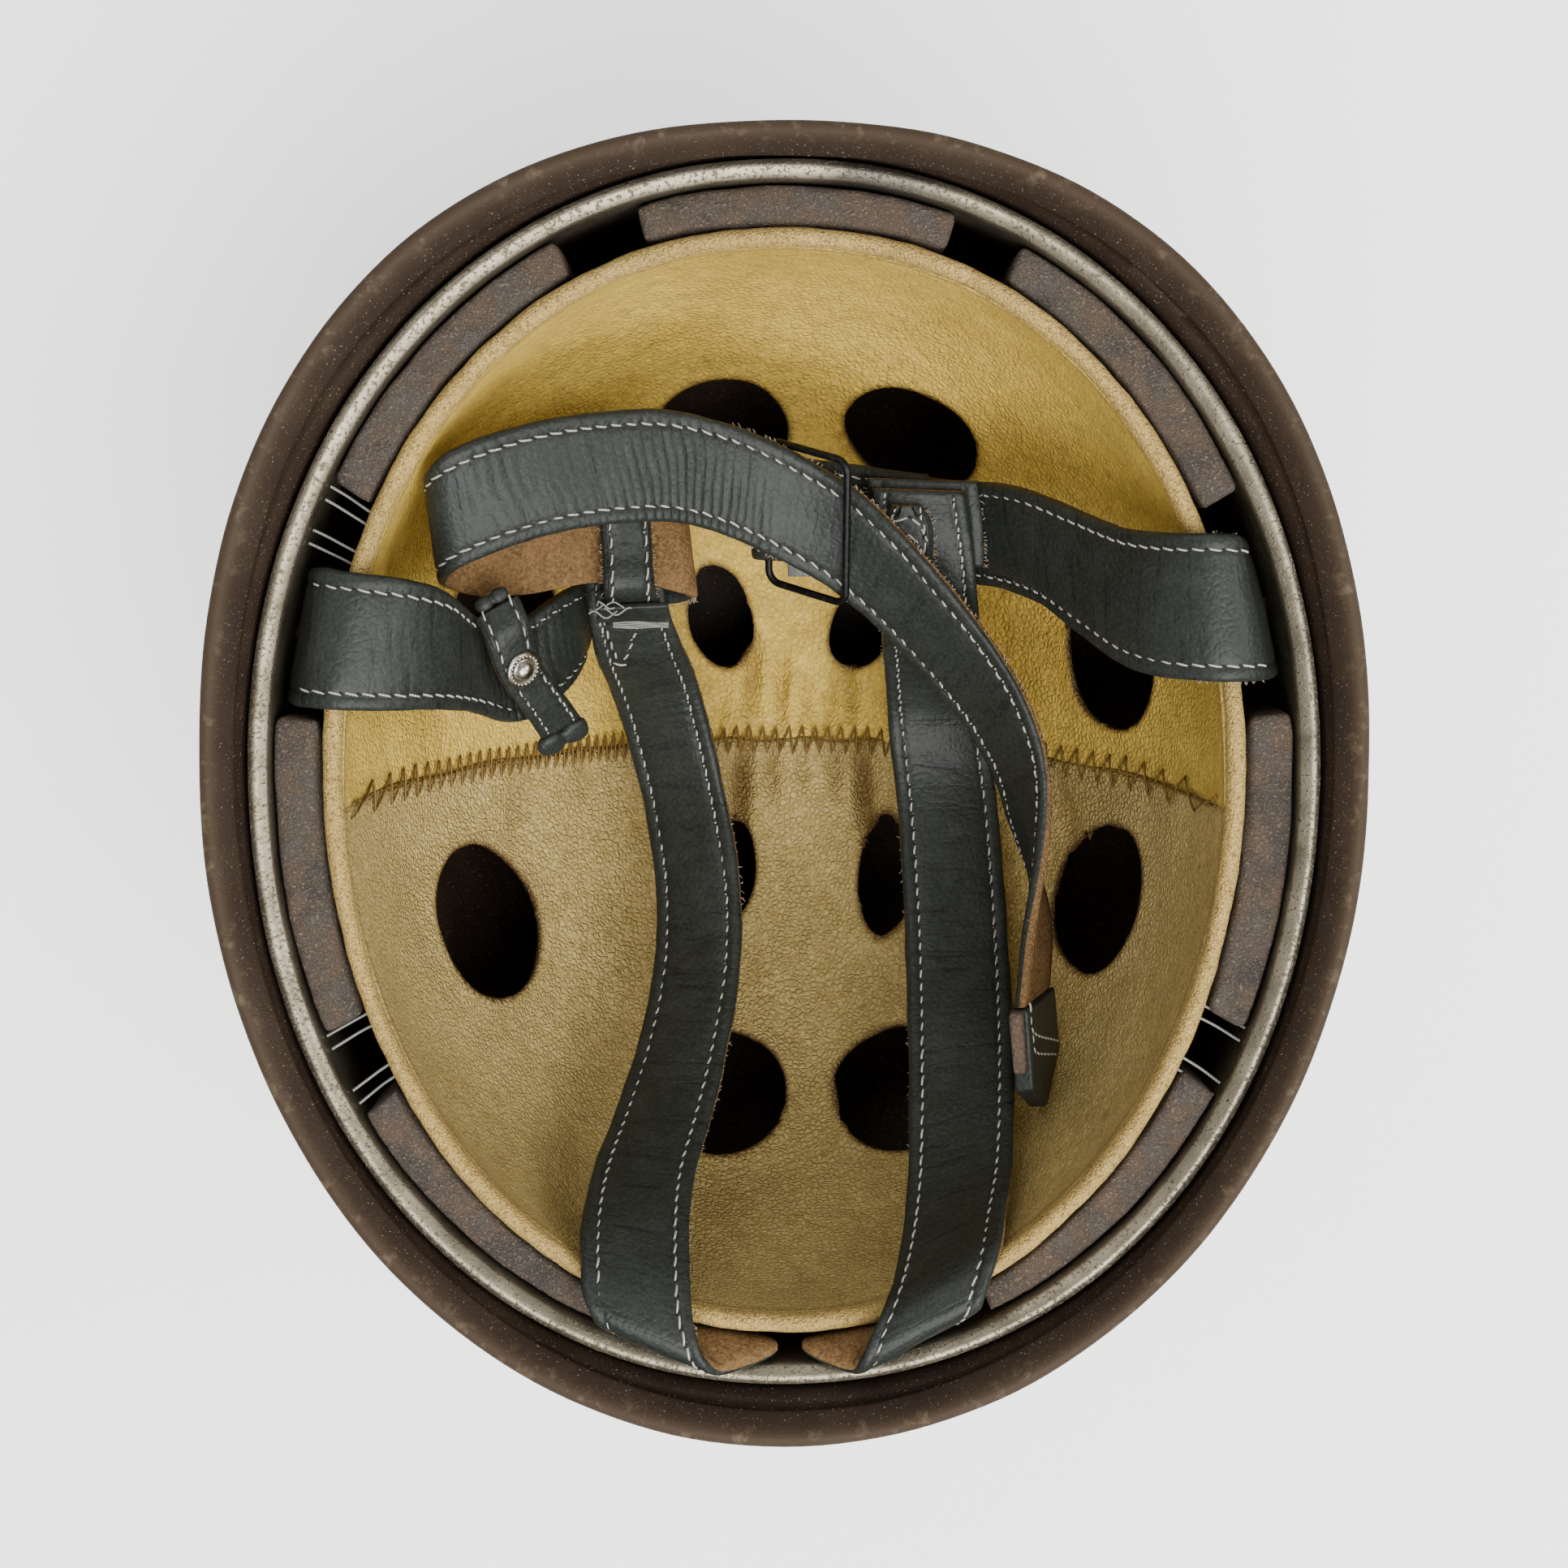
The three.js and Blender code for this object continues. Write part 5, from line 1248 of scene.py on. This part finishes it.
def make_stud(kit):
    """Press stud: a domed cap in a ring of small beads."""
    sides, beads, rings, spokes = 48, 22, 4, 8
    place = 2 * LINE_STEPS
    middle, across, grain, _, _ = strap_path(STRAPS["snap_tab"], LINE_STEPS)
    centre, up = middle[place] + grain[place] * 1.5, grain[place]
    side = across[place] - up * (across[place] @ up)
    side /= np.linalg.norm(side)
    ahead = np.cross(up, side)
    profile = [(0.01, 0), (4.1, 0), (4.2, 0.35), (3.9, 0.8), (3.3, 0.95), (2.7, 0.7), (2.3, 0.75),
               (2.05, 1.5), (1.3, 2.1), (0.01, 2.3)]
    turns = np.linspace(0, 2 * math.pi, sides, endpoint=False)
    rows = [[centre + up * z + r * (math.cos(t) * side + math.sin(t) * ahead) for t in turns]
            for r, z in profile]
    faces = grid_faces(len(rows), sides)
    points = [p for row in rows for p in row]
    for b in range(beads):
        t = 2 * math.pi * b / beads
        bead = centre + up * 0.85 + 3.35 * (math.cos(t) * side + math.sin(t) * ahead)
        start = len(points)
        for ring in range(1, rings + 1):
            tilt = math.pi * ring / (rings + 1)
            for k in range(spokes):
                turn = 2 * math.pi * k / spokes
                points.append(bead + 0.44 * (math.cos(tilt) * up + math.sin(tilt) * (
                    math.cos(turn) * side + math.sin(turn) * ahead)))
        faces += [tuple(start + v for v in face) for face in grid_faces(rings, spokes)]
        last = start + (rings - 1) * spokes
        faces += [tuple(range(start, start + spokes)), tuple(range(last, last + spokes))]
    piece = finish_mesh("press_stud_cap", np.array(points), faces, [kit.materials["chrome"]])
    return dress(piece, "stud_chrome", "press_stud")


# Stage

def make_stage(kit):
    size = 12.0
    mesh = bpy.data.meshes.new("floor")
    corners = [(-size, -size, 0), (size, -size, 0), (size, size, 0), (-size, size, 0)]
    mesh.from_pydata(corners, [], [(0, 1, 2, 3)])
    floor = add_piece("floor", mesh)
    # Matt white paper that glows a little, as an evenly lit sweep does
    paper, _, shader, _ = new_material("matt paper floor")
    shader.inputs["Base Color"].default_value = hex_linear("#fbfaf8")
    shader.inputs["Roughness"].default_value = 0.95
    shader.inputs["Emission Color"].default_value = (1, 1, 1, 1)
    shader.inputs["Emission Strength"].default_value = 0.85
    mesh.materials.append(paper)
    world = bpy.data.worlds.new("studio")
    world.use_nodes = True
    world.node_tree.nodes["Background"].inputs["Color"].default_value = (1, 1, 1, 1)
    world.node_tree.nodes["Background"].inputs["Strength"].default_value = kit.sizes.fill_light
    bpy.context.scene.world = world
    for name, place, width, power in (
        ("rear softbox", (0.3, -0.6, 1.25), 1.2, kit.sizes.key_light * 1.25),
        ("front softbox", (-0.45, 0.9, 1.1), 0.8, kit.sizes.key_light * 0.14),
        ("right softbox", (1.05, 0.1, 0.9), 0.6, kit.sizes.key_light * 0.22),
    ):
        lamp = bpy.data.lights.new(name, "AREA")
        lamp.size = width
        lamp.energy = power
        holder = add_piece(name, lamp)
        holder.location = place
        holder.rotation_euler = (Vector((0, 0, 0.1)) - Vector(place)).to_track_quat("-Z", "Y").to_euler()


def make_camera(kit):
    """Looks down into the opening from 0.56 m above the rim, six degrees off the upright."""
    camera = bpy.data.cameras.new("camera")
    camera.lens = kit.sizes.camera_lens
    camera.sensor_width = 36
    tilt, distance = math.radians(6), 0.56
    aim = Vector((0, 0.0035, 0.162))
    holder = add_piece("camera", camera)
    holder.location = aim + Vector((0, math.sin(tilt) * distance, math.cos(tilt) * distance))
    holder.rotation_euler = (-tilt, 0, 0)
    bpy.context.scene.camera = holder


# Add-on

class HelmetSizes(bpy.types.PropertyGroup):
    around: bpy.props.IntProperty(
        name="Steps round the shell", description="Fineness of shell and band", default=224)
    liner_around: bpy.props.IntProperty(
        name="Steps round the liner", description="Fineness round the bowl", default=360)
    liner_rows: bpy.props.IntProperty(
        name="Rows of the liner", description="Fineness down the bowl", default=104)
    thread_radius: bpy.props.FloatProperty(
        name="Thread radius", description="Radius of the strap thread", default=0.00025, unit="LENGTH")
    stitch_length: bpy.props.FloatProperty(
        name="Stitch length", description="Length of one strap stitch", default=0.0029, unit="LENGTH")
    stitch_pitch: bpy.props.FloatProperty(
        name="Stitch pitch", description="From one strap stitch to the next", default=0.0035, unit="LENGTH")
    stitch_inset: bpy.props.FloatProperty(
        name="Stitch inset", description="From a strap's edge to its stitches", default=0.0033, unit="LENGTH")
    strap_steps: bpy.props.IntProperty(
        name="Strap steps", description="Steps between two rows of a strap", default=12)
    pad_voxel: bpy.props.FloatProperty(
        name="Pad mesh", description="Mesh size of the pads before they swell", default=0.0012, unit="LENGTH")
    pad_cap: bpy.props.FloatProperty(
        name="Pad swell", description="How far a pad's cover may swell", default=0.0009, unit="LENGTH")
    camera_lens: bpy.props.FloatProperty(name="Lens", description="Focal length in millimetres", default=62.4)
    key_light: bpy.props.FloatProperty(
        name="Key light", description="Power that each softbox takes its own part of", default=30, unit="POWER")
    fill_light: bpy.props.FloatProperty(
        name="Fill light", description="Strength of the white world", default=0.72)


class Kit:
    """What the operators share: sizes, materials and thread trees."""

    def __init__(self, scene):
        self.sizes = scene.helmet_sizes
        self.materials = make_materials()
        self.trees = {"dashes": thread_tree("stitch dashes", False),
                      "run": thread_tree("running thread", True)}


shared = {}


def kit_of(context):
    if "kit" not in shared:
        shared["kit"] = Kit(context.scene)
    return shared["kit"]


class HELMET_OT_stage(bpy.types.Operator):
    """Makes the camera, floor and soft lights"""
    bl_idname = "helmet.stage"
    bl_label = "Stage"

    def execute(self, context):
        make_camera(kit_of(context))
        make_stage(kit_of(context))
        return {"FINISHED"}


class HELMET_OT_shell(bpy.types.Operator):
    """Makes the pressed steel shell and its four bolts"""
    bl_idname = "helmet.shell"
    bl_label = "Steel shell"

    def execute(self, context):
        kit = kit_of(context)
        make_shell(kit)
        for side in ("left", "right", "rear_left", "rear_right"):
            softened_copy(kit, "bolt_" + side, "liner_bolt_" + side, "shell_paint",
                          [kit.materials["steel"]], 0.5)
        return {"FINISHED"}


class HELMET_OT_band(bpy.types.Operator):
    """Makes the aluminium band and the lacing threads that cross from it to the hem"""
    bl_idname = "helmet.band"
    bl_label = "Aluminium band"

    def execute(self, context):
        make_band(kit_of(context))
        make_lacings(kit_of(context))
        return {"FINISHED"}


class HELMET_OT_liner(bpy.types.Operator):
    """Makes the two liner panels, the rolled hem and the zigzag seam"""
    bl_idname = "helmet.liner"
    bl_label = "Leather liner"

    def execute(self, context):
        make_liner(kit_of(context))
        make_hem(kit_of(context))
        make_seam_stitches(kit_of(context))
        return {"FINISHED"}


class HELMET_OT_pads(bpy.types.Operator):
    """Makes the seven stuffed pads between band and liner"""
    bl_idname = "helmet.pads"
    bl_label = "Pads"

    def execute(self, context):
        for name, ends in PADS.items():
            make_pad(kit_of(context), name, ends)
        return {"FINISHED"}


class HELMET_OT_straps(bpy.types.Operator):
    """Makes the leather straps and their stitches"""
    bl_idname = "helmet.straps"
    bl_label = "Straps"

    def execute(self, context):
        kit = kit_of(context)
        for name in STRAPS:
            make_strap(kit, name)
        make_strap_stitches(kit)
        make_tip_stitches(kit)
        make_frays(kit)
        return {"FINISHED"}


class HELMET_OT_fittings(bpy.types.Operator):
    """Makes the buckle, press stud, strap point and small leather folds"""
    bl_idname = "helmet.fittings"
    bl_label = "Buckle and fittings"

    def execute(self, context):
        kit = kit_of(context)
        frame_wire = tube("buckle_wire", buckle_path(), 0.85, 14, [kit.materials["black"]])
        dress(frame_wire, "black_wire", "buckle_frame")
        softened_copy(kit, "buckle_tongue_plate", "buckle_plate", "black_wire", [kit.materials["plate"]], 0.2)
        make_stud(kit)
        leather = [kit.materials["strap"]]
        for name, node, width in (("cross_band", "keeper_band", 0.6), ("reinforced_point", "strap_tip", 0.9)):
            softened_copy(kit, name, node, "strap_leather", leather, width, 4)
        make_fold(kit, "fold_upper", "snap_fold_upper")
        make_fold(kit, "fold_lower", "snap_fold_lower")
        softened_copy(kit, "point_bar", "tip_bar", "raw_leather", [kit.materials["bar"]], 0.9, 4)
        return {"FINISHED"}


class HELMET_PT_panel(bpy.types.Panel):
    """Lists the helmet's steps in the sidebar"""
    bl_label = "Helmet"
    bl_idname = "HELMET_PT_panel"
    bl_space_type = "VIEW_3D"
    bl_region_type = "UI"
    bl_category = "Helmet"

    def draw(self, context):
        for operator in STEPS:
            self.layout.operator(operator.bl_idname)
        for name in HelmetSizes.__annotations__:
            self.layout.prop(context.scene.helmet_sizes, name)


STEPS = (HELMET_OT_stage, HELMET_OT_shell, HELMET_OT_band, HELMET_OT_liner, HELMET_OT_pads, HELMET_OT_straps,
         HELMET_OT_fittings)
CLASSES = (HelmetSizes,) + STEPS + (HELMET_PT_panel,)


def register():
    for item in CLASSES:
        bpy.utils.register_class(item)
    bpy.types.Scene.helmet_sizes = bpy.props.PointerProperty(type=HelmetSizes)


def unregister():
    del bpy.types.Scene.helmet_sizes
    for item in reversed(CLASSES):
        bpy.utils.unregister_class(item)


def main():
    register()
    bpy.ops.helmet.stage()
    bpy.ops.helmet.shell()
    bpy.ops.helmet.band()
    bpy.ops.helmet.liner()
    bpy.ops.helmet.pads()
    bpy.ops.helmet.straps()
    bpy.ops.helmet.fittings()


if __name__ == "__main__":
    main()
